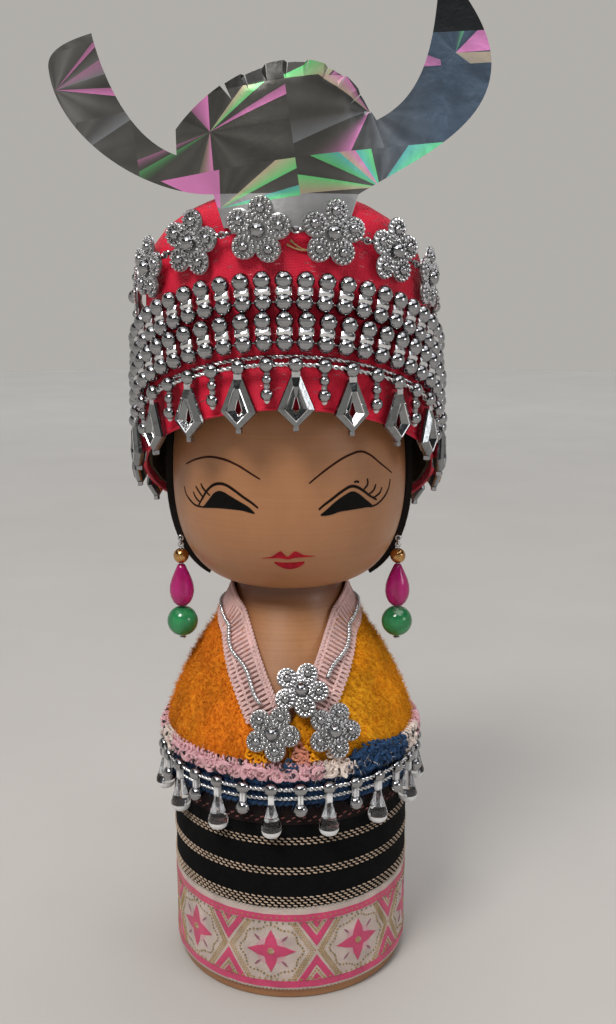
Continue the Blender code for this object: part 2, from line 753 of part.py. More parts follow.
def make_head(parent):
    """Turned head with its dowel socket."""
    outside = head_profile()
    socket = DOWEL_RADIUS + CLEARANCE
    top = DOWEL_REACH + CLEARANCE
    inside = [(0, top), (socket, top), (socket, 0)]
    piece("head_block", turned([*inside, *outside]), "wood", (0, 0, HEAD_FOOT), parent)


def hair_outline(lift):
    """Outline of the hair at a distance from the head, between its foot and the crown's middle."""
    profile = head_profile()
    lifted = [Vector(place) + normal * lift for place, normal in zip(profile, profile_normals(profile))]
    return [point for point, (radius, height) in zip(lifted, profile) if height >= HAIR_FOOT and radius > 0]


def make_hair(parent):
    """Black felt over the back and the crown of the head, open towards the face."""
    step = 2 * math.pi / ROUND_STEPS
    behind = [i * step for i in range(ROUND_STEPS) if HAIR_FRONT < i * step < 2 * math.pi - HAIR_FRONT]
    angles = [HAIR_FRONT, *behind, 2 * math.pi - HAIR_FRONT]
    grids = []
    for lift in (CLEARANCE + HAIR_THICKNESS, CLEARANCE):
        grids.append([[around(point.x, angle, point.y) for angle in angles] for point in hair_outline(lift)])
    piece("hair_cap", shell(*grids, round_rows=False), "hair", (0, 0, HEAD_FOOT), parent)


def hat_slope():
    """Rise of the hat's level rings towards the front, for each metre from its axis, at the crown."""
    return HAT_CROWN_TILT / HAT_CROWN_RADIUS


def hat_seat():
    """Height of the card crown at the sides, resting on the highest part of the hair behind."""
    outline = hair_outline(CLEARANCE + HAIR_THICKNESS)
    return HEAD_FOOT + max(point.y + hat_slope() * point.x for point in outline) + CLEARANCE


def hat_ring(level, inset=0.0, out=0.0):
    """Radius, side height and front rise of the hat's wall at a level."""
    low = -HAT_DEPTH
    share = (level - low) / (HAT_CROWN_START - low)
    radius = HAT_HEM_RADIUS + (HAT_CROWN_RADIUS - HAT_HEM_RADIUS) * share - inset + out
    rise = HAT_HEM_TILT + (HAT_CROWN_TILT - HAT_HEM_TILT) * share
    return radius, hat_seat() + level, rise


def hat_point(ring, angle):
    """Point of a level ring, which lies higher in front and leans aside as it climbs."""
    radius, height, rise = ring
    lean = HAT_SWAY * (height - hat_seat() + HAT_DEPTH) / HAT_DEPTH
    return around(radius, angle, height + rise * math.cos(angle)) + Vector((lean, 0, 0))


def hat_loop(ring, steps=ROUND_STEPS, phase=0.0):
    """All points of a level ring."""
    return [hat_point(ring, phase + 2 * math.pi * i / steps) for i in range(steps)]


def dome_rings(inset):
    """Rings of the hat's rounded crown, from the wall's top to near its middle."""
    rings = []
    for turn in between(0, HAT_DOME_END, DOME_ROWS + 1)[1:]:
        radius = (HAT_CROWN_RADIUS - inset) * math.cos(turn) ** HAT_DOME_CURVE
        climb = (HAT_DOME - inset) * math.sin(turn) ** HAT_DOME_CURVE
        rings.append((radius, hat_seat() + HAT_CROWN_START + climb, hat_slope() * radius))
    return rings


def make_hat(parent):
    """Card cup that sits on the hair, and the satin cover drawn over it."""
    levels = between(-HAT_DEPTH, HAT_CROWN_START, 3)
    grids = []
    for inset in (0.0, COVER_THICKNESS):
        rings = [hat_ring(level, inset) for level in levels] + dome_rings(inset)
        grids.append([hat_loop(ring) for ring in rings])
    piece("hat_cover", shell(*grids, round_rows=True, capped=True), "satin", parent=parent)
    grids = []
    for inset, lift in ((CARD_INSET, CARD_THICKNESS), (CARD_INSET + CARD_THICKNESS, 0.0)):
        wall = [hat_ring(level, inset) for level in (-HAT_DEPTH + CARD_SETBACK, HAT_CROWN_START)]
        crown = (CARD_CROWN_RADIUS, hat_seat() + lift, hat_slope() * CARD_CROWN_RADIUS)
        grids.append([hat_loop(ring) for ring in (*wall, crown)])
    piece("hat_card", shell(*grids, round_rows=True, capped=True), "card", parent=parent)


def make_bead_bands(parent):
    """Two close rows of double-ball plates round the hat."""
    for name, level in (("bead_band_upper", UPPER_BAND_LEVEL), ("bead_band_lower", LOWER_BAND_LEVEL)):
        rings = []
        ends = (level - BAND_HALF_HEIGHT, level + BAND_HALF_HEIGHT)
        seat = max(hat_ring(end)[0] for end in ends) + CLEARANCE
        for i in range(2 * BAND_COUNT):
            angle = math.pi * i / BAND_COUNT
            ball = BAND_BALL if i % 2 else BAND_PLATE
            places = ((0, -1.0), (ball, -BAND_BALL_LEVEL), (BAND_PLATE, 0), (ball, BAND_BALL_LEVEL), (0, 1.0))
            height, rise = hat_ring(level)[1:]
            section = [(seat + out, height + share * BAND_HALF_HEIGHT, rise) for out, share in places]
            rings.append([hat_point(ring, angle) for ring in section])
        piece(name, loft(rings, closed=True), "silver", parent=parent)


def chain_ring(out):
    """Level ring that the hat's flowers lie on, clear of the crest's tab."""
    radius = hat_ring(CHAIN_LEVEL - FLOWER_RADIUS)[0] + 2 * CLEARANCE + CREST_THICKNESS + out
    return (radius, *hat_ring(CHAIN_LEVEL)[1:])


def make_flower_chain(parent):
    """Flowers linked in a ring round the hat's crown."""
    flowers = []
    for i in range(CHAIN_COUNT):
        angle = CHAIN_PHASE + 2 * math.pi * i / CHAIN_COUNT
        place = Matrix.Translation(hat_point(chain_ring(0), angle)) @ facing(angle, 0)
        upright = place @ Matrix.Rotation(math.pi / 2, 4, "Z")
        flowers.append(moved(flower(PLAIN_PETAL, PLAIN_RINGS), upright))
    path = hat_loop(chain_ring(CHAIN_WIRE), 2 * CHAIN_COUNT, CHAIN_PHASE)
    wire = tube(path, CHAIN_WIRE, CORD_SIDES, closed=True)
    piece("flower_chain", united(wire, flowers), "silver", parent=parent)


def fringe_ring():
    """Level ring of the hat's fringe cord: its beads clear the wall and its kites clear the hem."""
    radius, height, rise = hat_ring(FRINGE_LEVEL)
    over_wall = hat_ring(FRINGE_LEVEL - BEAD_RADIUS)[0] + BEAD_RADIUS
    over_hem = HAT_HEM_RADIUS + KITE_HALF_DEPTH
    return max(over_wall, over_hem) + CLEARANCE, height, rise


def fringe_slant(angle):
    """Fall of the fringe cord towards +X at an angle."""
    radius, _, rise = fringe_ring()
    return math.atan2(rise * math.sin(angle), radius)


def make_hat_fringe(parent):
    """Cord round the hat with kites and triple-ball drops; those in front swing on it."""
    step = 2 * math.pi / HAT_PAIRS
    fixed = []
    near, others = middle_first(HAT_PAIRS, HAT_LOOSE_KITES)
    for number, index in enumerate(near, 1):
        angle = HAT_PHASE + index * step
        mesh = united(pendant_bead(BEAD_RADIUS, fringe_slant(angle)), kite())
        place = hat_point(fringe_ring(), angle)
        piece(f"hat_kite_{number}", mesh, "silver", place, parent, (0, 0, angle))
    for index in others:
        angle = HAT_PHASE + index * step
        fixed.append(hang(plain_kite(), hat_point(fringe_ring(), angle), angle))
    near, others = middle_first(HAT_PAIRS, HAT_LOOSE_DROPS)
    for number, index in enumerate(near, 1):
        angle = HAT_PHASE + (index - 0.5) * step
        mesh = united(pendant_bead(BEAD_RADIUS, fringe_slant(angle)), [hanging(DROP_PROFILE)])
        place = hat_point(fringe_ring(), angle)
        piece(f"hat_drop_{number}", mesh, "silver", place, parent, (0, 0, angle))
    for index in others:
        angle = HAT_PHASE + (index - 0.5) * step
        fixed.append(hang(plain_drop(DROP_PROFILE, BEAD_RADIUS), hat_point(fringe_ring(), angle), angle))
    path = hat_loop(fringe_ring(), 2 * HAT_PAIRS, HAT_PHASE)
    cord = united(tube(path, CORD_RADIUS, CORD_SIDES, closed=True), fixed)
    piece("hat_fringe_cord", cord, "silver", parent=parent)


def crest_seat():
    """Middle of the crest's tab on the front of the hat's cover, and the cover's direction upward there."""
    low, high = [hat_point(ring, 0) for ring in (hat_ring(HAT_CROWN_START), dome_rings(0.0)[0])]
    along = (high - low).normalized()
    out = Vector((0, -along.z, along.y))
    middle = (low + high) / 2 + out * (CLEARANCE + CREST_THICKNESS / 2)
    return Vector((0, middle.y, middle.z)), along


def crest_bow(x):
    """How far the crest stands back at a distance from its middle: round the hat, then straight on."""
    near = min(abs(x), CREST_CREASE_HALF)
    return near * near / (2 * HAT_CROWN_RADIUS) + (abs(x) - near) * near / HAT_CROWN_RADIUS


def crest_outline():
    """Closed outline of the flat crest card in metres, and its rim tabs' folded corners."""
    def scaled(*points):
        return [(x * MM, y * MM) for x, y in points]

    left = (-CREST_CREASE_HALF, 0)
    right = (CREST_CREASE_HALF, 0)
    outline = curve(left, *scaled(*LEFT_HORN_OUTER))
    outline += curve(outline[-1], *scaled(*LEFT_HORN_END), 5)[1:]
    outline += curve(outline[-1], *scaled(*LEFT_HORN_INNER))[1:]
    arch = curve(*scaled(CREST_ARCH_START, *CREST_ARCH), CORNERS_PER_TAB * CREST_RIM_TABS + 1)
    middle = Vector((arch[len(arch) // 2][0], 0))
    folded = []
    for i, point in enumerate(arch):
        if i % CORNERS_PER_TAB == 0:
            inward = (middle - Vector(point)).normalized() * CREST_RIM_CUT
            outline.append((point[0] + inward.x, point[1] + inward.y))
        elif i % CORNERS_PER_TAB != CORNERS_PER_TAB // 2:
            outline.append(point)
            folded.append(point)
    outline += curve(*scaled(RIGHT_HORN_START, *RIGHT_HORN_INNER))
    outline += curve(outline[-1], *scaled(*RIGHT_HORN_END), 5)[1:]
    outline += curve(outline[-1], *scaled(*RIGHT_HORN_OUTER), right)[1:]
    outline += [(x, -CREST_TAB) for x in between(CREST_TAB_HALF, -CREST_TAB_HALF, CURVE_STEPS)]
    return outline, folded


def make_crest(parent):
    """Horned card crest: a tab on the hat's front, a crease, and a sheet that bows back to its horns."""
    outline, folded = crest_outline()
    xs = [point[0] for point in outline]
    ys = [point[1] for point in outline]
    across_count = int((max(xs) - min(xs)) / CREST_MESH)
    up_count = int(max(ys) / CREST_MESH)
    inside = [
        Vector((x, y))
        for x in between(min(xs), max(xs), across_count + 1)
        for y in between(0, max(ys), up_count + 1)
    ]
    border = [Vector(point) for point in outline]
    ring = [list(range(len(border)))]
    flat, _, faces, *_ = delaunay_2d_cdt(border + inside, [], ring, 1, 1e-7)
    middle, along = crest_seat()
    crease = middle + along * CREST_TAB / 2
    fold_back = {(round(x / MM, 3), round(y / MM, 3)) for x, y in folded}

    def bent(point, side):
        x, y = point
        if y > 0:
            place = Vector((x, y * math.sin(CREST_LEAN), y * math.cos(CREST_LEAN)))
        else:
            place = Vector((x, y * along.y, y * along.z))
        place.y += crest_bow(x)
        if (round(x / MM, 3), round(y / MM, 3)) in fold_back:
            place.y += CREST_RIM_FOLD
        return crease + place + Vector((0, side * CREST_THICKNESS / 2, 0))

    bm = bmesh.new()
    fronts = [bm.verts.new(bent(point, -1)) for point in flat]
    backs = [bm.verts.new(bent(point, 1)) for point in flat]
    edges = {}
    for face in faces:
        bm.faces.new([fronts[i] for i in face])
        bm.faces.new([backs[i] for i in reversed(face)])
        for i, j in zip(face, face[1:] + face[:1]):
            key = (min(i, j), max(i, j))
            edges[key] = edges.get(key, 0) + 1
    for (i, j), uses in edges.items():
        if uses == 1:
            bm.faces.new((fronts[i], fronts[j], backs[j], backs[i]))
    for loose in [vert for vert in bm.verts if not vert.link_faces]:
        bm.verts.remove(loose)
    piece("crest_plate", closed_mesh(bm), "hologram", parent=parent)


def link(radius, wire, turn):
    """Closed wire ring about the origin, its axis turned from Z."""
    return moved(tube(circle(radius, 0, LINK_STEPS), wire, CORD_SIDES, closed=True), turn)


def bead(radius, hole):
    """Round bead about the origin, bored along Z."""
    reach = math.sqrt(radius * radius - hole * hole)
    start = math.atan2(reach, hole)
    turns = between(-start, start, EAR_BEAD_STEPS // 2)
    return bored([(radius * math.cos(a), radius * math.sin(a)) for a in turns], EAR_BEAD_STEPS)


def acrylic_drop(hole):
    """Long faceted drop bored along Z, its fuller end down, its middle at the origin."""
    half = DROP_LENGTH / 2
    loop = ((hole, -half), (0.62 * DROP_RADIUS, -0.86 * half), (DROP_RADIUS, -0.35 * half))
    loop += ((0.85 * DROP_RADIUS, 0.25 * half), (0.4 * DROP_RADIUS, 0.8 * half), (hole, half))
    return bored(loop, EAR_BEAD_STEPS)


def make_earring(name, side, parent):
    """Eye at the front edge of the hair, jump ring, and a headed pin that carries three beads."""
    height = HEAD_FOOT + EAR_HEIGHT
    beside = on_profile(head_profile(), EAR_HEIGHT, 2 * CLEARANCE + EAR_EYE + EAR_WIRE).x
    eye = around(beside, side * (HAIR_FRONT - EAR_LEAD / beside), height)
    gap = 2 * EAR_WIRE + CLEARANCE
    ring = eye - Vector((0, 0, EAR_RING + EAR_EYE - gap))
    upright = Matrix.Rotation(math.pi / 2, 4, "X")
    sideways = Matrix.Rotation(math.pi / 2, 4, "Y")
    edge = -beside * math.cos(HAIR_FRONT) - eye.y - 2 * CLEARANCE
    stem = tube([Vector((0, 0, EAR_EYE)), Vector((0, edge, EAR_EYE))], EAR_WIRE, CORD_SIDES)
    piece("ear_eye_" + name, united(link(EAR_EYE, EAR_WIRE, upright), [stem]), "silver", eye, parent)
    sway = empty(f"earring_{name}_sway", eye, parent)
    piece("ear_ring_" + name, link(EAR_RING, EAR_WIRE, sideways), "silver", ring, sway)
    swing = empty(f"earring_{name}_swing", ring, sway)
    loop_middle = gap - EAR_RING - EAR_EYE
    loop_foot = loop_middle - EAR_EYE
    hole = EAR_PIN + CLEARANCE
    gold = loop_foot - EAR_WIRE - CLEARANCE - math.sqrt(GOLD_RADIUS**2 - hole**2)
    drop = gold - math.sqrt(GOLD_RADIUS**2 - hole**2) - CLEARANCE - DROP_LENGTH / 2
    green = drop - DROP_LENGTH / 2 - CLEARANCE - math.sqrt(GREEN_RADIUS**2 - hole**2)
    foot = green - math.sqrt(GREEN_RADIUS**2 - hole**2) - CLEARANCE
    loop = moved(link(EAR_EYE, EAR_WIRE, upright), Matrix.Translation((0, 0, loop_middle)))
    head = [(EAR_FOOT_RADIUS, foot - EAR_FOOT), (EAR_FOOT_RADIUS, foot)]
    pin = turned([*head, (EAR_PIN, foot), (EAR_PIN, loop_foot)], LINK_STEPS)
    piece("ear_pin_" + name, united(pin, [loop]), "silver", ring, swing)
    for bead_name, mesh, slot, drop_by in (
        ("gold_bead_", bead(GOLD_RADIUS, hole), "gold", gold),
        ("magenta_drop_", acrylic_drop(hole), "magenta", drop),
        ("green_bead_", bead(GREEN_RADIUS, hole), "green", green),
    ):
        piece(bead_name + name, mesh, slot, ring + Vector((0, 0, drop_by)), swing)


def main():
    """Builds the doll: the dressed body, then the head that turns on its dowel."""
    clear_scene()
    body = empty("body_frame", Vector())
    head = empty("head_pivot", Vector((0, 0, HEAD_FOOT)))
    flowers = chest_places()
    make_body(body)
    make_skirt(body)
    make_jacket(body)
    make_collar(body, [place.translation for _, place in flowers])
    make_chest_flowers(body, flowers)
    make_waist_fringe(body)
    make_head(head)
    make_hair(head)
    make_hat(head)
    make_bead_bands(head)
    make_flower_chain(head)
    make_hat_fringe(head)
    make_crest(head)
    make_earring("left", -1, head)
    make_earring("right", 1, head)


main()
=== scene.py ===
"""Looks of a turned wooden doll in a horned festival costume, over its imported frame.

Metres, +Z up. The doll faces -Y, and angles round it are counted from its front towards +X.
"""

import math
from math import cos, pi, radians, sin

import bmesh
import bpy
from mathutils import Euler, Matrix, Vector
from mathutils.geometry import delaunay_2d_cdt, interpolate_bezier


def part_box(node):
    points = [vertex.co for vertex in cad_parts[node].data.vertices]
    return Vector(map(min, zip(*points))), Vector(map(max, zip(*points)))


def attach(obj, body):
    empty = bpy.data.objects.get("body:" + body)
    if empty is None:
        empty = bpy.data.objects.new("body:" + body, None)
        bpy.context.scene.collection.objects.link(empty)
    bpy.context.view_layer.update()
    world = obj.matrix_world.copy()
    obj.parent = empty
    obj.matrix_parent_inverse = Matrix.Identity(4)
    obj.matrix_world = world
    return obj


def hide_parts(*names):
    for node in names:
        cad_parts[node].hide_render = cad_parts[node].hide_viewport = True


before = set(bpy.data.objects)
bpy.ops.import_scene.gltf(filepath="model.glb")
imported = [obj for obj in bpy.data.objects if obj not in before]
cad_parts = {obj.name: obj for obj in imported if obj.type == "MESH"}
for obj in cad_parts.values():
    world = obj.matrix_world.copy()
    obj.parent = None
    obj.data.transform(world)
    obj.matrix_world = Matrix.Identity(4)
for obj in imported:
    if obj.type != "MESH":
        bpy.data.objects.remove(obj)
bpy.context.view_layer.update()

bl_info = {
    "name": "Festival doll",
    "version": (1, 0, 0),
    "blender": (4, 5, 0),
    "location": "View3D > Sidebar > Doll",
    "description": "Dresses the packed frame of a turned wooden doll with its cloth, trims and paint",
    "category": "Object",
}

MM = 0.001
TINY = 1e-7
COLOUR_SOCKETS = ("Color", "Light", "Dark")


def metres(*lengths):
    """Lengths that are given in millimetres."""
    return [length * MM for length in lengths]


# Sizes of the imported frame
CLEARANCE = 0.3 * MM
BASE_RADIUS, BASE_CHAMFER = metres(38.5, 1.0)
SHOULDER = ((38.5, 80.0), (38.5, 90.0), (26.5, 108.0), (17.5, 128.0))
NECK_TOP, HEAD_FOOT = metres(131.0, 131.3)
DOWEL_RADIUS, DOWEL_DEPTH, DOWEL_REACH = metres(4.0, 14.0, 12.0)
JAW = ((18.0, 0.0), (30.0, 1.0), (37.5, 13.0), (37.5, 33.0))
CROWN = ((37.5, 33.0), (37.5, 69.0), (26.0, 88.0), (0.0, 88.0))
RIBBON_FOOT, RIBBON_WIDTH, RIBBON_RADIUS = metres(4.0, 28.5, 39.5)
SKIRT_FOOT, SKIRT_TOP, SKIRT_RADIUS = metres(32.8, 77.7, 39.4)
BRAID_FOOT, BRAID_TOP, BRAID_RADIUS = metres(70.1, 77.1, 40.4)
JACKET_HEM, JACKET_TOP = metres(78.0, 125.0)
FELT_SEAT, FELT_THICKNESS, TRIM_SEAT = metres(0.6, 1.6, 2.8)
DRAW_FOOT, DRAW_HEIGHT = metres(104.0, 13.0)
DRAW_SHARE = 0.62
FRONT_GAP, NECKLINE_FOOT, NECKLINE_HALF = metres(0.4, 92.0, 16.0)
COLLAR_WIDTH, COLLAR_THICKNESS, COLLAR_FOOT, COLLAR_NECK = metres(10.5, 1.4, 95.0, 119.0)
COLLAR_CORD_RADIUS, COLLAR_CORD_WAVE = metres(0.8, 1.3)
COLLAR_CORD_WAVES = 3
WAIST_CORD_RADIUS, WAIST_CORD_HEIGHT = metres(42.7, 74.4)
WAIST_INNER_RADIUS, WAIST_INNER_DROP = metres(41.7, 3.4)
WAIST_PAIRS, WAIST_PHASE = 15, radians(-7.0)
HAIR_THICKNESS, HAIR_FOOT = metres(2.0, 2.0)
HAIR_FRONT = radians(86.0)
HAT_DEPTH, HAT_HEM_RADIUS, HAT_CROWN_RADIUS = metres(61.0, 46.5, 43.5)
HAT_HEM_TILT, HAT_CROWN_TILT, HAT_CROWN_START = metres(25.5, 20.0, -6.0)
HAT_DOME, HAT_SWAY, COVER_THICKNESS = metres(20.0, -1.0, 0.8)
HAT_DOME_CURVE = 0.75
HAT_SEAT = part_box("hat_cover")[0][2] + HAT_DEPTH + HAT_HEM_TILT
BAND_COUNT = 51
BALL_OFFSET = 2.95 * MM
BANDS = {"bead_band_upper": metres(-25.0, 45.1), "bead_band_lower": metres(-37.0, 45.75)}
HAT_PAIRS, HAT_PHASE = 19, radians(3.4)
FRINGE_LEVEL, FRINGE_RADIUS = metres(-47.0, 48.46)
FRINGE_INNER_RADIUS, FRINGE_INNER_RISE = metres(46.45, 2.0)
CHAIN_LEVEL, CHAIN_RADIUS = metres(-7.0, 45.2)
CHAIN_COUNT, CHAIN_PHASE = 14, radians(-8.3)
FLOWER_RADIUS = 8.1 * MM
PETALS = 5
CHEST_FLOWERS = {
    "chest_flower_top": ((3.74, -35.18, 103.57), 59.0, 6.06),
    "chest_flower_left": ((-4.7, -40.17, 91.76), 73.0, -6.67),
    "chest_flower_right": ((13.69, -38.06, 91.76), 73.0, 19.79),
}
CREST_CREASE = Vector((-0.08, -41.77, 249.12)) * MM
CREST_TAB_RISE = Vector((-0.0178, 0.2558, 0.9666))
CREST_TAB, CREST_TAB_HALF, CREST_CREASE_HALF = metres(9.5, 17.0, 20.0)
CREST_THICKNESS, CREST_RIM_CUT = metres(0.6, 5.0)
CREST_LEAN = radians(7.0)
CREST_RIM_TABS, CREST_RIM_PLAIN, CREST_RIM_SLIT = 11, 3, 0.03
HORN_STEPS, ARCH_STEPS = 26, 40
CREST_RIM_FOLDS = (0.5, 0.2)
LEFT_HORN = (
    ((-20.0, 0.0), (-40.0, 0.0), (-68.0, 18.0), (-70.0, 38.0)),
    ((-70.0, 38.0), (-70.3, 43.0), (-64.0, 45.0), (-56.0, 46.4)),
    ((-56.0, 46.4), (-54.5, 40.0), (-47.0, 17.0), (-30.6, 11.0)),
)
CREST_ARCH = ((-30.8, 18.0), (-18.0, 34.0), (14.0, 46.0), (23.7, 22.0))
RIGHT_HORN = (
    ((25.0, 20.2), (38.0, 27.0), (42.0, 40.0), (43.0, 64.0)),
    ((43.0, 64.0), (50.0, 58.0), (59.0, 48.0), (59.0, 38.0)),
    ((59.0, 38.0), (59.0, 20.0), (36.0, 10.0), (20.0, 0.0)),
)

# Painted face, as degrees from the front and millimetres above the head's foot
BROWS = (
    ((-56.5, 39.8), (-48.1, 41.9), (-38.8, 43.3), (-30.0, 43.0), (-22.9, 41.6), (-17.0, 39.6), (-12.3, 37.9)),
    ((9.7, 36.7), (14.2, 39.0), (19.9, 41.5), (26.7, 43.8), (34.9, 45.1), (41.1, 43.8), (48.1, 40.7),
     (57.5, 37.0)),
)
LIDS = (
    ((-46.6, 27.9), (-43.3, 30.6), (-40.1, 33.1), (-36.3, 35.0), (-32.4, 35.7), (-28.7, 35.4), (-24.4, 34.0),
     (-20.0, 32.2), (-16.4, 30.8), (-13.4, 29.3)),
    ((14.2, 28.7), (16.0, 29.8), (19.8, 31.5), (25.0, 33.7), (29.6, 35.0), (33.3, 34.6), (37.2, 33.1),
     (40.9, 31.4), (45.5, 29.8)),
)
EYES = (
    ((-43.2, 27.6), (-41.4, 28.9), (-38.3, 31.0), (-35.8, 32.7), (-32.8, 33.5), (-29.9, 33.2), (-26.8, 32.3),
     (-22.2, 30.9), (-17.9, 29.5), (-14.9, 27.6), (-17.3, 27.7), (-20.9, 28.2), (-26.2, 28.3), (-32.8, 28.2),
     (-38.2, 27.9)),
    ((15.0, 27.1), (17.8, 28.6), (21.3, 30.5), (25.7, 32.3), (30.4, 33.5), (34.1, 32.6), (38.2, 30.6),
     (43.2, 28.0), (38.4, 28.0), (30.7, 27.9), (24.4, 27.7), (20.7, 27.1), (17.1, 26.8)),
)
LASHES = (
    ((-58.7, 32.6), (-56.9, 30.4), (-52.9, 28.7), (-48.7, 27.7), (-42.6, 27.7)),
    ((56.1, 35.1), (54.8, 32.5), (51.2, 30.1), (46.2, 28.4), (41.2, 27.9)),
    ((-50.3, 31.8), (-48.3, 30.1), (-45.6, 29.1)),
    ((-48.2, 33.7), (-45.8, 32.2), (-42.6, 30.5)),
    ((-44.4, 34.9), (-42.6, 33.4), (-38.3, 31.6)),
    ((39.2, 36.8), (39.4, 35.0), (36.7, 33.4)),
    ((44.8, 34.6), (43.3, 32.9), (39.5, 31.7)),
    ((49.2, 33.3), (47.5, 31.6), (42.9, 30.5)),
    ((31.6, 36.2), (33.0, 36.3), (34.4, 36.0)),
)
LIPS = (
    ((-13.3, 13.4), (-8.4, 14.0), (-3.8, 15.9), (-2.4, 15.3), (-0.1, 14.1), (1.9, 15.2), (4.0, 15.9),
     (7.9, 14.6), (13.6, 14.1), (8.7, 13.9), (3.5, 13.7), (0.1, 13.2), (-4.0, 13.6), (-8.5, 13.5)),
    ((-7.1, 12.2), (-3.3, 12.1), (0.5, 12.1), (4.7, 12.2), (8.5, 12.3), (6.7, 10.8), (2.8, 9.9), (-1.1, 9.9),
     (-4.6, 10.8)),
)


class Shape:
    """Corners and faces of one mesh, with a UV pair for each face corner and a finish number for each face."""

    def __init__(self):
        self.corners, self.faces, self.uvs, self.finishes = [], [], [], []

    def add(self, points):
        """Adds corners and returns their numbers."""
        start = len(self.corners)
        self.corners.extend(Vector(point) for point in points)
        return list(range(start, len(self.corners)))

    def face(self, corners, uvs=None, finish=0):
        """Adds one face."""
        self.faces.append(tuple(corners))
        self.uvs.append(tuple(uvs) if uvs else ((0.0, 0.0),) * len(corners))
        self.finishes.append(finish)

    def grid(self, rows, wrap=False, uv=None, finish=0, flip=False):
        """Adds a net of faces through equal rows of points, and returns the rows' corner numbers."""
        net = [self.add(row) for row in rows]
        count = len(net[0])
        for r in range(len(net) - 1):
            for c in range(count if wrap else count - 1):
                n = (c + 1) % count
                corners = (net[r][c], net[r][n], net[r + 1][n], net[r + 1][c])
                uvs = [uv(*place) for place in ((r, c), (r, c + 1), (r + 1, c + 1), (r + 1, c))] if uv else None
                if flip:
                    corners, uvs = corners[::-1], uvs and uvs[::-1]
                self.face(corners, uvs, finish)
        return net

    def bar(self, rows, finish=0):
        """Adds a solid through closed rows of points, with flat ends."""
        net = self.grid(rows, True, finish=finish)
        self.face(net[0][::-1], None, finish)
        self.face(net[-1], None, finish)
        return self

    def shell(self, outer, inner, wrap=False, uv=None):
        """Adds a wall between two equal nets, closed along its rims."""
        near, far = self.grid(outer, wrap, uv), self.grid(inner, wrap, uv, flip=True)
        last, count = len(near) - 1, len(near[0])
        for c in range(count if wrap else count - 1):
            n = (c + 1) % count
            self.face((near[0][n], near[0][c], far[0][c], far[0][n]))
            self.face((near[last][c], near[last][n], far[last][n], far[last][c]))
        if not wrap:
            for r in range(last):
                self.face((near[r][0], near[r + 1][0], far[r + 1][0], far[r][0]))
                self.face((near[r + 1][-1], near[r][-1], far[r][-1], far[r + 1][-1]))
        return self

    def turned(self, profile, steps, matrix=None, closed=False):
        """Adds a solid of revolution about Z from radii and heights, bottom to top on its outside."""
        matrix = matrix or Matrix()
        rings = []
        for radius, height in profile:
            turns = full_turn(steps if radius > TINY else 1)
            ring = [Vector((radius * cos(a), radius * sin(a), height)) for a in turns]
            rings.append(self.add([matrix @ point for point in ring]))
        for low, high in zip(rings, rings[1:] + rings[:1] if closed else rings[1:]):
            for i in range(max(len(low), len(high))):
                j = (i + 1) % steps
                if len(low) == 1 < len(high):
                    self.face((low[0], high[j], high[i]))
                elif len(high) == 1 < len(low):
                    self.face((low[i], low[j], high[0]))
                elif len(low) > 1:
                    self.face((low[i], low[j], high[j], high[i]))
        return self

    def tube(self, path, radius, sides=8, closed=False):
        """Adds a round cord along points; its UV runs along it and round it."""
        rings, count, side, run = [], len(path), None, [0.0]
        for i, point in enumerate(path):
            after = path[(i + 1) % count] if closed or i + 1 < count else point
            before = path[i - 1] if closed or i else point
            along = (after - before).normalized()
            if side is None:
                side = along.orthogonal().normalized() if abs(along.z) > 0.9 else Vector((0, 0, 1))
            side = (side - along * side.dot(along)).normalized()
            other = along.cross(side)
            reach = radius(i / max(1, count - 1)) if callable(radius) else radius
            rings.append([point + reach * (side * cos(a) + other * sin(a)) for a in full_turn(sides)])
            run.append(run[-1] + (after - point).length)
        if closed:
            rings.append(rings[0])
        net = self.grid(rings, True, lambda r, c: (run[r], 2 * pi * c / sides * MM), flip=True)
        if not closed:
            self.face(net[0])
            self.face(net[-1][::-1])
        return self

    def ball(self, centre, radius, steps):
        """Adds a round ball."""
        rows = max(4, steps // 2)
        arc = [-pi / 2 + pi * i / rows for i in range(rows + 1)]
        profile = [(radius * cos(a) if 0 < i < rows else 0.0, radius * sin(a)) for i, a in enumerate(arc)]
        return self.turned(profile, steps, Matrix.Translation(centre))

    def patch(self, outline, place, lift, sink=0.1 * MM, spacing=1.2 * MM, finish=0):
        """Adds a thin figure on a surface: a filled outline, lifted off it, with walls down into it."""
        flat = [Vector(point) for point in outline]
        low = Vector((min(p.x for p in flat), min(p.y for p in flat)))
        high = Vector((max(p.x for p in flat), max(p.y for p in flat)))
        across, up = (max(1, int(x / spacing)) for x in high - low)
        inner = [
            Vector((low.x + (high.x - low.x) * (i + 0.5) / across, low.y + (high.y - low.y) * (j + 0.5) / up))
            for i in range(across) for j in range(up)
        ]
        points, _, faces, *_ = delaunay_2d_cdt(flat + inner, [], [list(range(len(flat)))], 1, 1e-8)
        top = self.add([place(p.x, p.y, lift) for p in points])
        for face in faces:
            self.face([top[i] for i in face], [tuple(points[i]) for i in face], finish)
        rim = rim_of(faces)
        foot = dict(zip((i for i, _ in rim), self.add([place(*points[i], -sink) for i, _ in rim])))
        for i, j in rim:
            if j in foot:
                self.face((foot[i], foot[j], top[j], top[i]), [tuple(points[k]) for k in (i, j, j, i)], finish)

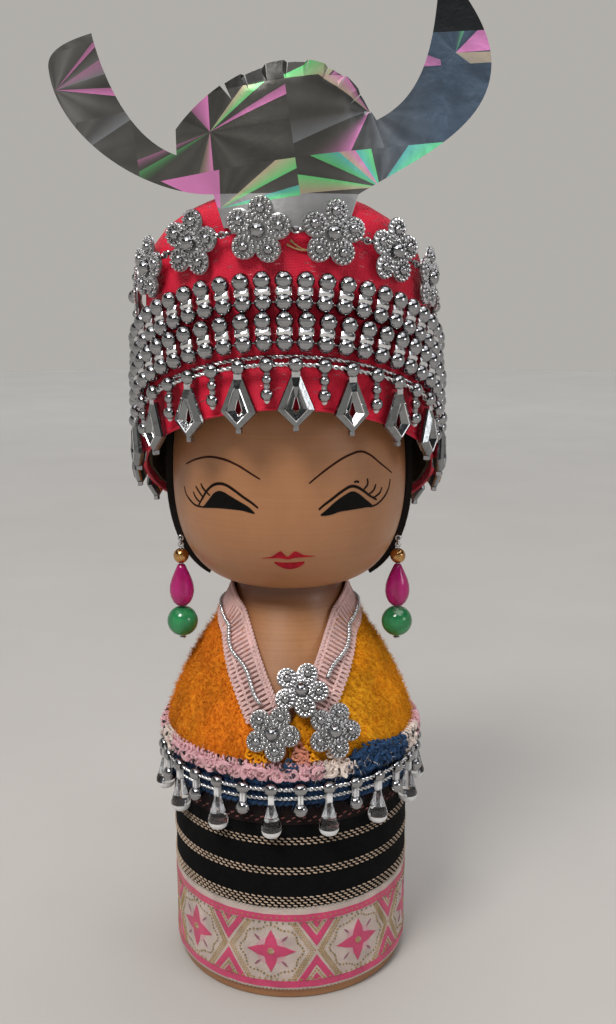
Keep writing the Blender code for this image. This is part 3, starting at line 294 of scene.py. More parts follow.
    def mesh(self, sharp=40.0, outward=True):
        """Makes the Blender mesh, smooth apart from edges sharper than an angle."""
        made = bpy.data.meshes.new("shape")
        made.from_pydata(self.corners, [], self.faces)
        layer = made.uv_layers.new(name="UVMap")
        layer.data.foreach_set("uv", [x for face in self.uvs for pair in face for x in pair])
        made.polygons.foreach_set("material_index", self.finishes)
        bm = bmesh.new()
        bm.from_mesh(made)
        bmesh.ops.remove_doubles(bm, verts=bm.verts, dist=TINY)
        if outward:
            bmesh.ops.recalc_face_normals(bm, faces=bm.faces)
        bm.to_mesh(made)
        bm.free()
        made.shade_smooth()
        made.set_sharp_from_angle(angle=radians(sharp))
        return made


def rim_of(faces):
    """Edges of a filled outline that belong to one face only."""
    edges = dict.fromkeys(edge for face in faces for edge in zip(face, [*face[1:], face[0]]))
    return [(i, j) for i, j in edges if (j, i) not in edges]


def joined(*parts):
    """One mesh from others; a part given as (mesh, number) takes that finish number."""
    bm = bmesh.new()
    for part in parts:
        mesh, number = part if isinstance(part, tuple) else (part, None)
        before = len(bm.faces)
        bm.from_mesh(mesh)
        bm.faces.ensure_lookup_table()
        if number is not None:
            for face in bm.faces[before:]:
                face.material_index = number
        bpy.data.meshes.remove(mesh)
    made = bpy.data.meshes.new("joined")
    bm.to_mesh(made)
    bm.free()
    return made


def put(name, mesh, finishes, body, nodes=()):
    """Sets a finished piece on its body in place of CAD nodes."""
    mesh.name = name
    numbers = [face.material_index for face in mesh.polygons]
    mesh.materials.clear()
    finishes = [finishes] if isinstance(finishes, str) else finishes
    for finish in finishes:
        mesh.materials.append(finish_of(finish))
    if len(finishes) > 1:
        mesh.polygons.foreach_set("material_index", numbers)
    piece = bpy.data.objects.new(name, mesh)
    bpy.context.collection.objects.link(piece)
    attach(piece, body)
    if nodes:
        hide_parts(*nodes)
    return piece


def bezier(points, steps):
    """Points of one Bezier stretch given in millimetres, as pairs in metres."""
    ends = [Vector((x * MM, y * MM, 0)) for x, y in points]
    return [(point.x, point.y) for point in interpolate_bezier(*ends, steps)]


def smooth_line(points, steps, closed=False):
    """Points of a smooth line through given points, ends among them."""
    count = len(points)
    line = []
    for i in range(count if closed else count - 1):
        near = [(i + k) % count if closed else min(max(i + k, 0), count - 1) for k in (-1, 0, 1, 2)]
        a, b, c, d = (Vector(points[k]) for k in near)
        square, cube = 2 * a - 5 * b + 4 * c - d, 3 * b - a - 3 * c + d
        for t in (k / steps for k in range(steps)):
            line.append(0.5 * (2 * b + (c - a) * t + square * t**2 + cube * t**3))
    return line if closed else line + [Vector(points[-1])]


def between(low, high, count):
    """Evenly spaced numbers, both ends among them."""
    return [low + (high - low) * i / (count - 1) for i in range(count)]


def full_turn(count):
    """Angles of equal steps all round."""
    return [2 * pi * i / count for i in range(count)]


def heading(angle):
    """Flat direction at an angle."""
    return Vector((cos(angle), sin(angle)))


def scatter(index, channel=0):
    """Even spread of numbers from 0 to 1, the same on every run."""
    return (0.5 + index * (0.61803399, 0.75487767, 0.56984029, 0.38196601)[channel % 4] + channel * 0.37) % 1.0


def around(radius, angle, height):
    """Point at an angle from the doll's front."""
    return Vector((radius * sin(angle), -radius * cos(angle), height))


def on_profile(profile, height, lift=0.0):
    """Radius and height of the point that stands off a profile by lift, at a height of the profile."""
    for low, high in zip(profile, profile[1:]):
        if low[1] <= height <= high[1] and high[1] > low[1]:
            share = (height - low[1]) / (high[1] - low[1])
            along = (Vector(high) - Vector(low)).normalized()
            return Vector(low).lerp(Vector(high), share) + Vector((along.y, -along.x)) * lift
    along = (Vector(profile[-1]) - Vector(profile[-2])).normalized()
    return Vector(profile[-1]) + Vector((along.y, -along.x)) * lift


SHOULDER_PROFILE = bezier(SHOULDER, 40)
DRESS_PROFILE = [(BASE_RADIUS, 60 * MM), *SHOULDER_PROFILE]
HEAD_PROFILE = bezier(JAW, 28) + bezier(CROWN, 32)[1:]


def on_dress(height, angle, lift):
    """Point over the body where the jacket lies; it stands off the wood by lift, less where cloth draws in."""
    drawn_in = min(1.0, max(0.0, (height - DRAW_FOOT) / DRAW_HEIGHT))
    place = on_profile(DRESS_PROFILE, height, lift * (1 - DRAW_SHARE * drawn_in))
    return around(place.x, angle, place.y)


def on_head(degrees, height, lift):
    """Point over the head at degrees from the front and millimetres above its foot."""
    place = on_profile(HEAD_PROFILE, height * MM, lift)
    return around(place.x, radians(degrees), HEAD_FOOT + place.y)


def hat_ring(level, out=0.0):
    """Radius, side height and front rise of the hat's wall at a level."""
    share = (level + HAT_DEPTH) / (HAT_CROWN_START + HAT_DEPTH)
    radius = HAT_HEM_RADIUS + (HAT_CROWN_RADIUS - HAT_HEM_RADIUS) * share + out
    return radius, HAT_SEAT + level, HAT_HEM_TILT + (HAT_CROWN_TILT - HAT_HEM_TILT) * share


def hat_lean(height):
    """How far the hat leans aside at a height of its sides."""
    return HAT_SWAY * (height - HAT_SEAT + HAT_DEPTH) / HAT_DEPTH


def hat_point(ring, angle):
    """Point of a level ring of the hat, which lies higher in front."""
    radius, height, rise = ring
    return around(radius, angle, height + rise * cos(angle)) + Vector((hat_lean(height), 0, 0))


def facing(place, tilt, turn):
    """Matrix that sets a flat trim, lying on XY, at a place in millimetres."""
    turned = Euler((radians(tilt), 0, radians(turn))).to_matrix().to_4x4()
    return Matrix.Translation(Vector(place) * MM) @ turned


class Graph:
    """Adds nodes to a node tree and feeds their sockets."""

    def __init__(self, tree):
        self.tree = tree

    def feed(self, socket, value):
        """Links another socket, or sets a plain value."""
        if isinstance(value, bpy.types.NodeSocket):
            self.tree.links.new(value, socket)
        else:
            socket.default_value = value

    def node(self, kind, inputs=None, **settings):
        """Adds a node with its settings, then its inputs by name or number."""
        made = self.tree.nodes.new(kind)
        for key, value in settings.items():
            setattr(made, key, value)
        for key, value in (inputs or {}).items():
            self.feed(made.inputs[key], value)
        return made

    def first(self, kind, inputs=None, **settings):
        """Adds a node and returns its first output."""
        return self.node(kind, inputs, **settings).outputs[0]

    def math(self, operation, *values):
        """One sum of numbers."""
        return self.first("ShaderNodeMath", dict(enumerate(values)), operation=operation)

    def times(self, value, by):
        """Product of two numbers."""
        return self.math("MULTIPLY", value, by)

    def vector(self, operation, first, second=None, scale=None):
        """One sum of vectors."""
        given = {0: first, 1: second, "Scale": scale}
        inputs = {key: value for key, value in given.items() if value is not None}
        made = self.node("ShaderNodeVectorMath", inputs, operation=operation)
        return made.outputs["Value" if operation == "LENGTH" else "Vector"]

    def mix(self, share, first, second):
        """Blend of two colours."""
        return self.node("ShaderNodeMix", {0: share, 6: first, 7: second}, data_type="RGBA").outputs[2]

    def noise(self, vector, scale, detail=3.0, roughness=0.55):
        """Soft noise from 0 to 1."""
        inputs = {"Vector": vector, "Scale": scale, "Detail": detail, "Roughness": roughness}
        return self.node("ShaderNodeTexNoise", inputs).outputs["Fac"]

    def bent(self, vector, scale, share):
        """Place scaled up and bent by a share of noise."""
        return self.vector("ADD", self.vector("SCALE", vector, scale=scale), self.node(
            "ShaderNodeTexNoise", {"Vector": vector, "Scale": scale * share}).outputs["Color"])

    def spread(self, value, low, high, to_low=0.0, to_high=1.0):
        """Number carried from one span to another, held at its ends."""
        inputs = {"Value": value, "From Min": low, "From Max": high, "To Min": to_low, "To Max": to_high}
        return self.node("ShaderNodeMapRange", inputs).outputs["Result"]

    def here(self):
        """Place on the piece."""
        return self.node("ShaderNodeTexCoord").outputs["Object"]

    def flat(self):
        """Place on the piece's UV map."""
        return self.node("ShaderNodeUVMap").outputs["UV"]

    def attribute(self, name):
        """Vector that the mesh carries under a name."""
        return self.first("GeometryNodeInputNamedAttribute", {"Name": name}, data_type="FLOAT_VECTOR")

    def xyz(self, vector):
        """The three numbers of a vector."""
        return self.node("ShaderNodeSeparateXYZ", {0: vector}).outputs

    def joined(self, x, y, z=0.0):
        """Vector of three numbers."""
        return self.first("ShaderNodeCombineXYZ", {0: x, 1: y, 2: z})

    def group(self, maker, **inputs):
        """Outputs of one of the shared effects below."""
        return self.node("ShaderNodeGroup", inputs, node_tree=group_of(maker)).outputs


def group_of(maker):
    """Node group of a function that makes it, made once and named for it."""
    name = maker.__name__.replace("_", " ").capitalize()
    return bpy.data.node_groups.get(name) or maker(name)


def colour(red, green, blue):
    """Opaque colour."""
    return (red, green, blue, 1.0)


def new_effect(name, inputs, *outputs):
    """Shader node group; returns its graph, its input sockets and its output sockets."""
    tree = bpy.data.node_groups.new(name, "ShaderNodeTree")
    for socket, value in inputs.items():
        kind = "NodeSocketColor" if socket in COLOUR_SOCKETS else "NodeSocketFloat"
        tree.interface.new_socket(socket, in_out="INPUT", socket_type=kind).default_value = value
    for socket in outputs:
        kind = "NodeSocketColor" if socket in COLOUR_SOCKETS else "NodeSocketFloat"
        tree.interface.new_socket(socket, in_out="OUTPUT", socket_type=kind)
    graph = Graph(tree)
    return graph, graph.node("NodeGroupInput").outputs, graph.node("NodeGroupOutput").inputs


def colour_drift(name):
    """Slow change of a colour over a surface."""
    g, ask, give = new_effect(name, {"Color": colour(0.5, 0.5, 0.5), "Amount": 0.2, "Scale": 40.0}, "Color")
    slow = g.spread(g.noise(g.here(), ask["Scale"], 4.0), 0.3, 0.7, -1.0, 1.0)
    level = g.math("MULTIPLY_ADD", slow, ask["Amount"], 1.0)
    g.feed(give["Color"], g.vector("SCALE", ask["Color"], scale=level))
    return g.tree


def fine_unevenness(name):
    """Small height of a surface that is never quite even."""
    g, ask, give = new_effect(name, {"Scale": 900.0, "Detail": 4.0}, "Height")
    g.feed(give["Height"], g.noise(g.here(), ask["Scale"], ask["Detail"], 0.6))
    return g.tree


def handling_marks(name):
    """Roughness that varies where a surface has been handled."""
    g, ask, give = new_effect(name, {"Roughness": 0.4, "Spread": 0.15, "Scale": 120.0}, "Roughness")
    marks = g.spread(g.noise(g.here(), ask["Scale"], 6.0, 0.65), 0.35, 0.7, -0.5, 0.5)
    g.feed(give["Roughness"], g.math("MULTIPLY_ADD", marks, ask["Spread"], ask["Roughness"]))
    return g.tree


def turned_grain(name):
    """Wood turned on a lathe: soft figure along the height and fine lines round it."""
    shades = {"Light": colour(0.4, 0.2, 0.1), "Dark": colour(0.3, 0.14, 0.06)}
    g, ask, give = new_effect(name, shades, "Color", "Height")
    here = g.here()
    long = g.vector("MULTIPLY", here, (38.0, 38.0, 9.0))
    figure = g.noise(g.vector("ADD", long, g.vector("SCALE", here, scale=6.0)), 1.0, 5.0, 0.6)
    lines = g.noise(g.vector("MULTIPLY", here, (14.0, 14.0, 1500.0)), 1.0, 3.0, 0.7)
    pores = g.noise(g.vector("MULTIPLY", here, (1500.0, 1500.0, 120.0)), 1.0, 2.0, 0.6)
    share = g.math("ADD", g.spread(figure, 0.3, 0.7, 0.0, 0.62), g.spread(lines, 0.42, 0.7, 0.0, 0.24))
    wood = g.mix(share, ask["Light"], ask["Dark"])
    g.feed(give["Color"], g.mix(g.spread(pores, 0.6, 0.75, 0.0, 0.35), wood, ask["Dark"]))
    g.feed(give["Height"], g.math("ADD", lines, g.times(pores, 0.4)))
    return g.tree


def woven_threads(name):
    """Plain weave over a UV map in metres: thread height, and which thread is on top."""
    g, ask, give = new_effect(name, {"Pitch": 0.5 * MM}, "Height", "Warp")
    x, y, _ = g.xyz(g.flat())
    warp, weft = (g.math("DIVIDE", value, ask["Pitch"]) for value in (x, y))
    parity = g.math("MODULO", g.math("ADD", g.math("FLOOR", warp), g.math("FLOOR", weft)), 2.0)
    over = g.math("GREATER_THAN", g.math("ABSOLUTE", parity), 0.5)
    first, second = (g.math("ABSOLUTE", g.math("SINE", g.times(value, pi))) for value in (warp, weft))
    under = g.times(second, g.math("SUBTRACT", 1.0, over))
    g.feed(give["Height"], g.math("ADD", g.times(first, over), under))
    g.feed(give["Warp"], over)
    return g.tree


def new_finish(name, roughness, **values):
    """Graph and shader sockets of a new material; values are set on the shader's own sockets."""
    made = bpy.data.materials.new("doll_" + name)
    made.use_nodes = True
    shader = next(node for node in made.node_tree.nodes if node.type == "BSDF_PRINCIPLED").inputs
    shader["Roughness"].default_value = roughness
    for key, value in values.items():
        shader[key.replace("_", " ")].default_value = value
    return Graph(made.node_tree), shader


def drifting(g, shade, amount, scale):
    """Colour that changes slowly over the surface."""
    return g.group(colour_drift, Color=shade, Amount=amount, Scale=scale)["Color"]


def handled(g, roughness, spread, scale):
    """Roughness with handling marks."""
    return g.group(handling_marks, Roughness=roughness, Spread=spread, Scale=scale)["Roughness"]


def uneven(g, scale):
    """Height that is never quite even."""
    return g.group(fine_unevenness, Scale=scale)["Height"]


def surface(g, shader, shade, roughness, height, depth, strength=1.0):
    """Feeds a shader its colour, its roughness and a bump of a depth in millimetres."""
    inputs = {"Height": height, "Distance": depth * MM, "Strength": strength}
    g.feed(shader["Base Color"], shade)
    g.feed(shader["Roughness"], roughness)
    g.feed(shader["Normal"], g.node("ShaderNodeBump", inputs).outputs["Normal"])


def wood(name, light, dark, chin_shade_height=None):
    """Turned and waxed wood; where a height in millimetres is given, painted shade darkens it over 6 mm from
    there upward, as under the chin.
    """
    g, shader = new_finish(name, 0.45, Coat_Weight=0.12, Coat_Roughness=0.35)
    grain = g.group(turned_grain, Light=light, Dark=dark)
    tone = grain["Color"]
    if chin_shade_height:
        # painted shade: the wood turns dark brown above that height, for the shadow under the chin
        shaded = g.spread(g.xyz(g.here())[2], chin_shade_height * MM, (chin_shade_height + 6.0) * MM)
        tone = g.mix(shaded, tone, colour(0.13, 0.042, 0.014))
    surface(g, shader, tone, handled(g, 0.46, 0.2, 70.0), grain["Height"], 0.05, 0.4)


def paint(name, shade, roughness):
    """Thin hand-brushed paint."""
    g, shader = new_finish(name, roughness, Specular_IOR_Level=0.1)
    tone = drifting(g, shade, 0.35, 420.0)
    surface(g, shader, tone, handled(g, roughness, 0.25, 600.0), uneven(g, 1400.0), 0.05)


def cloth(name, shade, other, pitch, roughness, sheen=0.2, gloss=0.5):
    """Woven cloth of two threads."""
    g, shader = new_finish(name, roughness, Sheen_Weight=sheen, Sheen_Roughness=0.5, Specular_IOR_Level=gloss)
    weave = g.group(woven_threads, Pitch=pitch * MM)
    threads = g.mix(weave["Warp"], shade, other)
    shaded = g.vector("SCALE", threads, scale=g.spread(weave["Height"], 0.0, 1.0, 0.62, 1.08))
    tone = drifting(g, shaded, 0.18, 160.0)
    surface(g, shader, tone, handled(g, roughness, 0.15, 300.0), weave["Height"], 0.12)


def wool(name, shade, deep, scale, sheen, sheen_shade=(1.0, 1.0, 1.0, 1.0), patch=None):
    """Matted felt or spun yarn: streaks of lighter and deeper fibres, and broad patches of another colour."""
    g, shader = new_finish(name, 0.9, Sheen_Weight=sheen, Sheen_Roughness=0.6, Sheen_Tint=sheen_shade,
                           Specular_IOR_Level=0.12)
    here = g.here()
    strands = g.noise(g.bent(here, scale, 0.18), 1.0, 5.0, 0.7)
    if patch:
        shade = g.mix(g.spread(g.noise(here, 42.0, 2.0), 0.42, 0.62), shade, patch)
    tone = drifting(g, g.mix(g.spread(strands, 0.34, 0.68), deep, shade), 0.2, 110.0)
    surface(g, shader, tone, handled(g, 0.9, 0.12, 500.0), strands, 0.35)


def metal(name, shade, dull, roughness, spread, metallic=1.0):
    """Plated trim with fine wear."""
    g, shader = new_finish(name, roughness, Metallic=metallic)
    scale = 350.0
    tone = g.mix(g.spread(g.noise(g.here(), scale, 6.0, 0.7), 0.5, 0.72), shade, dull)
    surface(g, shader, tone, handled(g, roughness, spread, scale * 1.7), uneven(g, scale * 3), 0.04)


def clear(name, shade, deep, roughness, transmission, ior, scale=160.0, streak=None):
    """Moulded acrylic or glass with a slow swirl of colour."""
    g, shader = new_finish(name, roughness, Transmission_Weight=transmission, IOR=ior)
    swirl = g.noise(g.bent(g.here(), scale, 0.6), 1.0, 3.0, 0.6)
    tone = g.mix(g.spread(swirl, 0.38, 0.64), shade, deep)
    tone = g.mix(g.spread(swirl, 0.62, 0.68), tone, streak or deep)
    surface(g, shader, tone, handled(g, roughness, roughness * 0.8, 500.0), uneven(g, 300.0), 0.02, 0.3)


def satin_net(name, thread, bright, glitter):
    """Satin net of the hat: a fine open weave with sparks of glitter."""
    g, shader = new_finish(name, 0.45, Specular_IOR_Level=0.2)
    x, y, _ = g.xyz(g.flat())
    weave = g.group(woven_threads, Pitch=0.42 * MM)
    red = g.mix(weave["Warp"], thread, bright)
    # painted shade: the net's colour is darker where its threads dip between one another
    red = g.vector("SCALE", red, scale=g.spread(weave["Height"], 0.0, 0.9, 0.7, 1.1))
    cell = g.vector("SNAP", g.joined(x, y), (1.5 * MM, 0.42 * MM, MM))
    spark = g.math("GREATER_THAN", g.node("ShaderNodeTexWhiteNoise", {"Vector": cell}).outputs["Value"], 0.965)
    g.feed(shader["Metallic"], g.times(spark, 0.5))
    roughness = g.math("SUBTRACT", handled(g, 0.45, 0.2, 90.0), g.times(spark, 0.2))
    surface(g, shader, g.mix(spark, drifting(g, red, 0.2, 60.0), glitter), roughness, weave["Height"], 0.1)


FOIL_HUES = {
    "pink": (0.6, 0.2, 0.44), "beige": (0.46, 0.37, 0.26), "green": (0.12, 0.52, 0.18), "cyan": (0.1, 0.42, 0.4),
    "pale": (0.2, 0.21, 0.225), "grey": (0.05, 0.05, 0.047), "black": (0.008, 0.009, 0.01),
}
# Rays of each field, by its column and row: degrees from and to, hue and share at both edges. Their colours are
# the foil's rainbow reflection, painted as it looks from one viewpoint.
FOIL_RAYS = {
    (2, 3): ((85, 124, "pink", 1.0, "pink", 0.35), (32, 44, "green", 0.9, "beige", 0.8),
             (16, 22, "pink", 0.9, "pink", 0.5), (267, 246, "pink", 1.0, "beige", 0.15),
             (197, 207, "green", 0.4, "grey", 0.2), (189, 196, "pink", 0.4, "grey", 0.1)),
    (3, 3): ((119, 141, "pink", 0.8, "beige", 0.7), (237, 206, "pink", 0.85, "grey", 0.0),
             (181, 197, "pale", 0.0, "pale", 0.6), (285, 262, "pale", 0.4, "grey", 0.0)),
    (2, 2): ((84, 147, "pink", 0.75, "pink", 1.0), (19, 32, "green", 0.9, "beige", 0.85),
             (1, 8, "green", 1.0, "cyan", 0.8)),
    (3, 2): ((96, 118, "green", 0.9, "cyan", 0.9), (118, 134, "pink", 0.8, "beige", 0.8),
             (134, 150, "cyan", 0.8, "green", 0.7), (165, 178, "green", 0.9, "beige", 0.7),
             (21, 47, "green", 1.0, "cyan", 0.7)),
    (1, 4): ((343, 350, "pink", 0.9, "pink", 0.5), (4, 20, "pale", 0.7, "pink", 0.35),
             (33, 38, "pink", 0.7, "pink", 0.4)),
    # the pale rays of this field are painted glints of light off the crumpled left horn
    (1, 3): ((20, 44, "pale", 0.8, "grey", 0.0), (64, 90, "pale", 0.5, "grey", 0.0)),
    (2, 4): ((1, 359, "black", 0.7, "black", 0.7),),
    (3, 4): ((325, 338, "pink", 0.9, "pink", 0.4), (203, 226, "green", 0.9, "beige", 0.7),
             (228, 246, "pink", 0.6, "grey", 0.0), (247, 330, "black", 0.7, "black", 0.3)),
    (4, 4): ((1, 38, "pink", 0.9, "pink", 0.7), (322, 359, "beige", 0.5, "beige", 0.7),
             (60, 80, "green", 0.5, "grey", 0.0)),
}


def hologram_foil(name):
    """Pressed grey foil: oblong fields, each with a fan of rays from its middle, coloured with the foil's
    painted rainbow reflection.
    """
    g, shader = new_finish(name, 0.4, Metallic=0.35, Specular_IOR_Level=0.2)
    flat = g.flat()
    lean = {"Vector": flat, "Angle": radians(-8.0)}
    turned = g.first("ShaderNodeVectorRotate", lean, rotation_type="Z_AXIS")
    field = (44.4 * MM, 21.0 * MM, 1.0)
    place = g.vector("DIVIDE", g.vector("SUBTRACT", turned, (3.9 * MM, 9.0 * MM, 0.0)), field)
    inside = g.vector("MULTIPLY", g.vector("SUBTRACT", g.vector("FRACTION", place), (0.5, 0.5, 0.0)), field)
    column, row, _ = g.xyz(g.vector("ADD", g.vector("FLOOR", place), (3.0, 3.0, 0.0)))
    number = g.math("MULTIPLY_ADD", column, 10.0, row)
    aside = g.vector("SCALE", (17.4 * MM, 7.3 * MM, 0.0), scale=g.math("COMPARE", number, 44.0, 0.5))
    x, y, _ = g.xyz(g.vector("ADD", inside, aside))
    degrees = g.times(g.math("FRACT", g.math("DIVIDE", g.math("ARCTAN2", y, x), 2 * pi)), 360.0)
    key = g.math("MULTIPLY_ADD", number, 1000.0, degrees)
    across, up, _ = g.xyz(turned)
    beams = g.noise(g.joined(g.math("DIVIDE", degrees, 26.0), number), 1.0, 1.0)
    near_right = g.spread(across, 18.0 * MM, 46.0 * MM)
    shade = g.mix(near_right, colour(0.058, 0.056, 0.051), colour(0.04, 0.06, 0.088))
    shade = g.mix(g.spread(across, -36.0 * MM, -56.0 * MM), shade, colour(0.085, 0.083, 0.08))
    shade = g.vector("SCALE", shade, scale=g.spread(beams, 0.3, 0.7, 0.7, 1.5))
    shade = g.mix(g.math("LESS_THAN", g.xyz(flat)[1], 0.0), shade, colour(0.24, 0.24, 0.245))
    shade = drifting(g, shade, 0.25, 45.0)
    for (column, row), rays in FOIL_RAYS.items():
        base = 1000.0 * (10 * column + row)
        for low, high, first, share, second, rest in rays:
            held = g.math("COMPARE", key, base + (low + high) / 2, abs(high - low) / 2)
            along = g.spread(key, base + low, base + high)
            hue = g.mix(along, colour(*FOIL_HUES[first]), colour(*FOIL_HUES[second]))
            shade = g.mix(g.times(held, g.spread(along, 0.0, 1.0, share, rest)), shade, hue)
    tip = g.times(g.math("GREATER_THAN", up, 39.0 * MM), g.math("GREATER_THAN", across, 30.0 * MM))
    shade = g.mix(tip, shade, colour(*FOIL_HUES["black"]))
    surface(g, shader, shade, handled(g, 0.36, 0.14, 160.0), uneven(g, 110.0), 0.25)


def studio_paper(name, near, far):
    """Smooth pale paper under the doll, painted lighter towards its far edge, where less light reaches it, so
    that it meets the background.
    """
    g, shader = new_finish(name, 0.75)
    shade = g.mix(g.spread(g.vector("LENGTH", g.here()), 0.35, 1.6), near, far)
    g.feed(shader["Base Color"], drifting(g, shade, 0.03, 8.0))


# Maker of each finish and its values; a colour is given by its numbers or by its name in the sidebar
FINISHES = {
    # the body wood's last value is where the painted shade under the chin begins on the neck
    "body_wood": (wood, "body_wood", (0.26, 0.105, 0.04), 123.0),
    "head_wood": (wood, "head_wood", (0.3, 0.125, 0.048)),
    "dowel_wood": (wood, (0.52, 0.33, 0.18), (0.4, 0.22, 0.1)),
    "black_paint": (paint, "face_black", 0.62),
    "brow_paint": (paint, (0.03, 0.007, 0.005), 0.6),
    "brown_paint": (paint, (0.2, 0.08, 0.034), 0.55),
    "lip_paint": (paint, "lip_red", 0.45),
    "glue_trace": (paint, (0.42, 0.3, 0.14), 0.35),
    "cut_edge": (paint, (0.5, 0.5, 0.51), 0.6),
    "hat_card": (paint, (0.05, 0.032, 0.02), 0.85),
    "ribbon_cream": (cloth, "ribbon_cream", (0.6, 0.45, 0.41), 0.45, 0.6, 0.1),
    "ribbon_pink": (cloth, "ribbon_pink", (0.64, 0.04, 0.145), 0.45, 0.5, 0.15),
    "ribbon_gold": (cloth, (0.5, 0.33, 0.1), (0.36, 0.23, 0.07), 0.45, 0.5, 0.1),
    "ribbon_olive": (cloth, (0.25, 0.22, 0.1), (0.17, 0.145, 0.065), 0.45, 0.6),
    "ribbon_mauve": (cloth, (0.36, 0.12, 0.2), (0.28, 0.09, 0.14), 0.45, 0.6),
    "ribbon_blush": (cloth, (0.72, 0.36, 0.42), (0.66, 0.44, 0.44), 0.45, 0.6),
    "skirt_black": (cloth, "skirt_black", (0.0025, 0.0025, 0.003), 0.5, 0.95, 0.0, 0.12),
    "strip_red": (cloth, (0.016, 0.007, 0.007), (0.008, 0.005, 0.005), 0.5, 0.9, 0.0, 0.2),
    "stitch_tan": (wool, (0.6, 0.47, 0.36), (0.36, 0.26, 0.185), 2600.0, 0.1),
    "dark_yarn": (wool, (0.05, 0.05, 0.055), (0.02, 0.02, 0.024), 2600.0, 0.1),
    "strip_thread": (wool, (0.26, 0.09, 0.08), (0.14, 0.045, 0.04), 2600.0, 0.1),
    "blue_yarn": (wool, "yarn_blue", (0.006, 0.018, 0.05), 2600.0, 0.1),
    "pink_chenille": (wool, "trim_pink", (0.66, 0.33, 0.38), 2200.0, 0.3),
    "cream_chenille": (wool, (0.86, 0.76, 0.7), (0.68, 0.55, 0.48), 2200.0, 0.3),
    "coral_yarn": (wool, (0.78, 0.32, 0.2), (0.56, 0.16, 0.09), 2200.0, 0.3),
    "orange_felt": (wool, "felt_orange", (0.64, 0.16, 0.008), 900.0, 0.15, (1, 0.5, 0.1), (0.72, 0.28, 0.012)),
    "yellow_felt": (wool, "felt_yellow", (0.64, 0.22, 0.006), 900.0, 0.15, (1, 0.6, 0.1), (0.86, 0.46, 0.02)),
    "peach_braid": (wool, (0.84, 0.58, 0.55), (0.64, 0.4, 0.38), 2400.0, 0.2),
    "collar_shade": (wool, (0.66, 0.42, 0.41), (0.5, 0.3, 0.28), 2400.0, 0.1),
    "hair_felt": (wool, (0.012, 0.008, 0.007), (0.005, 0.004, 0.003), 1200.0, 0.12),
    "silver_trim": (metal, "silver", (0.26, 0.255, 0.25), 0.09, 0.08),
    # darker copy of the silver: painted shade on the flower plates
    "silver_dark": (metal, (0.32, 0.32, 0.325), (0.18, 0.18, 0.18), 0.36, 0.14),
    # darker copy of the silver: painted shade for the dark reflections of the kites' facets
    "kite_steel": (metal, (0.27, 0.28, 0.285), (0.17, 0.17, 0.17), 0.14, 0.1),
    # brighter copy of the silver: painted highlight for the light that bead band plates and kite necks reflect
    "silver_plate": (metal, (0.78, 0.78, 0.79), (0.5, 0.5, 0.5), 0.1, 0.1, 0.96),
    "silver_thread": (metal, (0.64, 0.64, 0.655), (0.3, 0.3, 0.31), 0.26, 0.16),
    "steel_wire": (metal, (0.62, 0.62, 0.635), (0.36, 0.36, 0.36), 0.22, 0.1),
    "gold_bead": (metal, (0.56, 0.31, 0.12), (0.3, 0.15, 0.06), 0.16, 0.12),
    # white of the teardrops' necks, and of their feet, where it is painted light: the floor's glow seen through
    # the clear drop
    "frost_white": (clear, (0.88, 0.88, 0.89), (0.76, 0.76, 0.77), 0.5, 0.1, 1.45),
    "clear_acrylic": (clear, (0.99, 0.99, 1.0), (0.96, 0.97, 0.98), 0.02, 1.0, 1.49),
    "magenta_acrylic": (clear, "magenta", (0.56, 0.018, 0.2), 0.14, 0.55, 1.49),
    "green_glass": (clear, "green", (0.02, 0.2, 0.07), 0.1, 0.4, 1.5, 120.0, (0.3, 0.55, 0.36)),
    "hat_satin": (satin_net, (0.7, 0.022, 0.055), "hat_red", (0.66, 0.12, 0.15)),
    "hologram_foil": (hologram_foil,),
    "studio_floor": (studio_paper, (0.43, 0.41, 0.385), (0.67, 0.65, 0.615)),
}


def finish_of(name):
    """Material of a finish, made once."""
    if "doll_" + name not in bpy.data.materials:
        maker, *values = FINISHES[name]
        shades = {str: own, tuple: lambda value: colour(*value)}
        maker(name, *(shades.get(type(value), float)(value) for value in values))
    return bpy.data.materials["doll_" + name]


def new_growth(name, **inputs):
    """Geometry node group with its sockets; returns its graph, its input sockets and its output socket."""
    tree = bpy.data.node_groups.new(name, "GeometryNodeTree")
    tree.interface.new_socket("Geometry", in_out="INPUT", socket_type="NodeSocketGeometry")
    for socket, kind in inputs.items():
        tree.interface.new_socket(socket, in_out="INPUT", socket_type="NodeSocket" + kind)
    tree.interface.new_socket("Geometry", in_out="OUTPUT", socket_type="NodeSocketGeometry")
    graph = Graph(tree)
    return graph, graph.node("NodeGroupInput").outputs, graph.node("NodeGroupOutput").inputs[0]


def give_real(g, out, instances, finish):
    """Ends a tree in real geometry of one finish."""
    real = g.first("GeometryNodeRealizeInstances", {0: instances})
    g.feed(out, g.first("GeometryNodeSetMaterial", {"Geometry": real, "Material": finish}))


def give_units(g, ask, out, points, rotation, scale=(1.0, 1.0, 1.0)):
    """Ends a tree in real units at points."""
    unit = g.node("GeometryNodeObjectInfo", {"Object": ask["Unit"]}).outputs["Geometry"]
    inputs = {"Points": points, "Instance": unit, "Rotation": rotation, "Scale": scale}
    give_real(g, out, g.first("GeometryNodeInstanceOnPoints", inputs), ask["Finish"])
    return g.tree


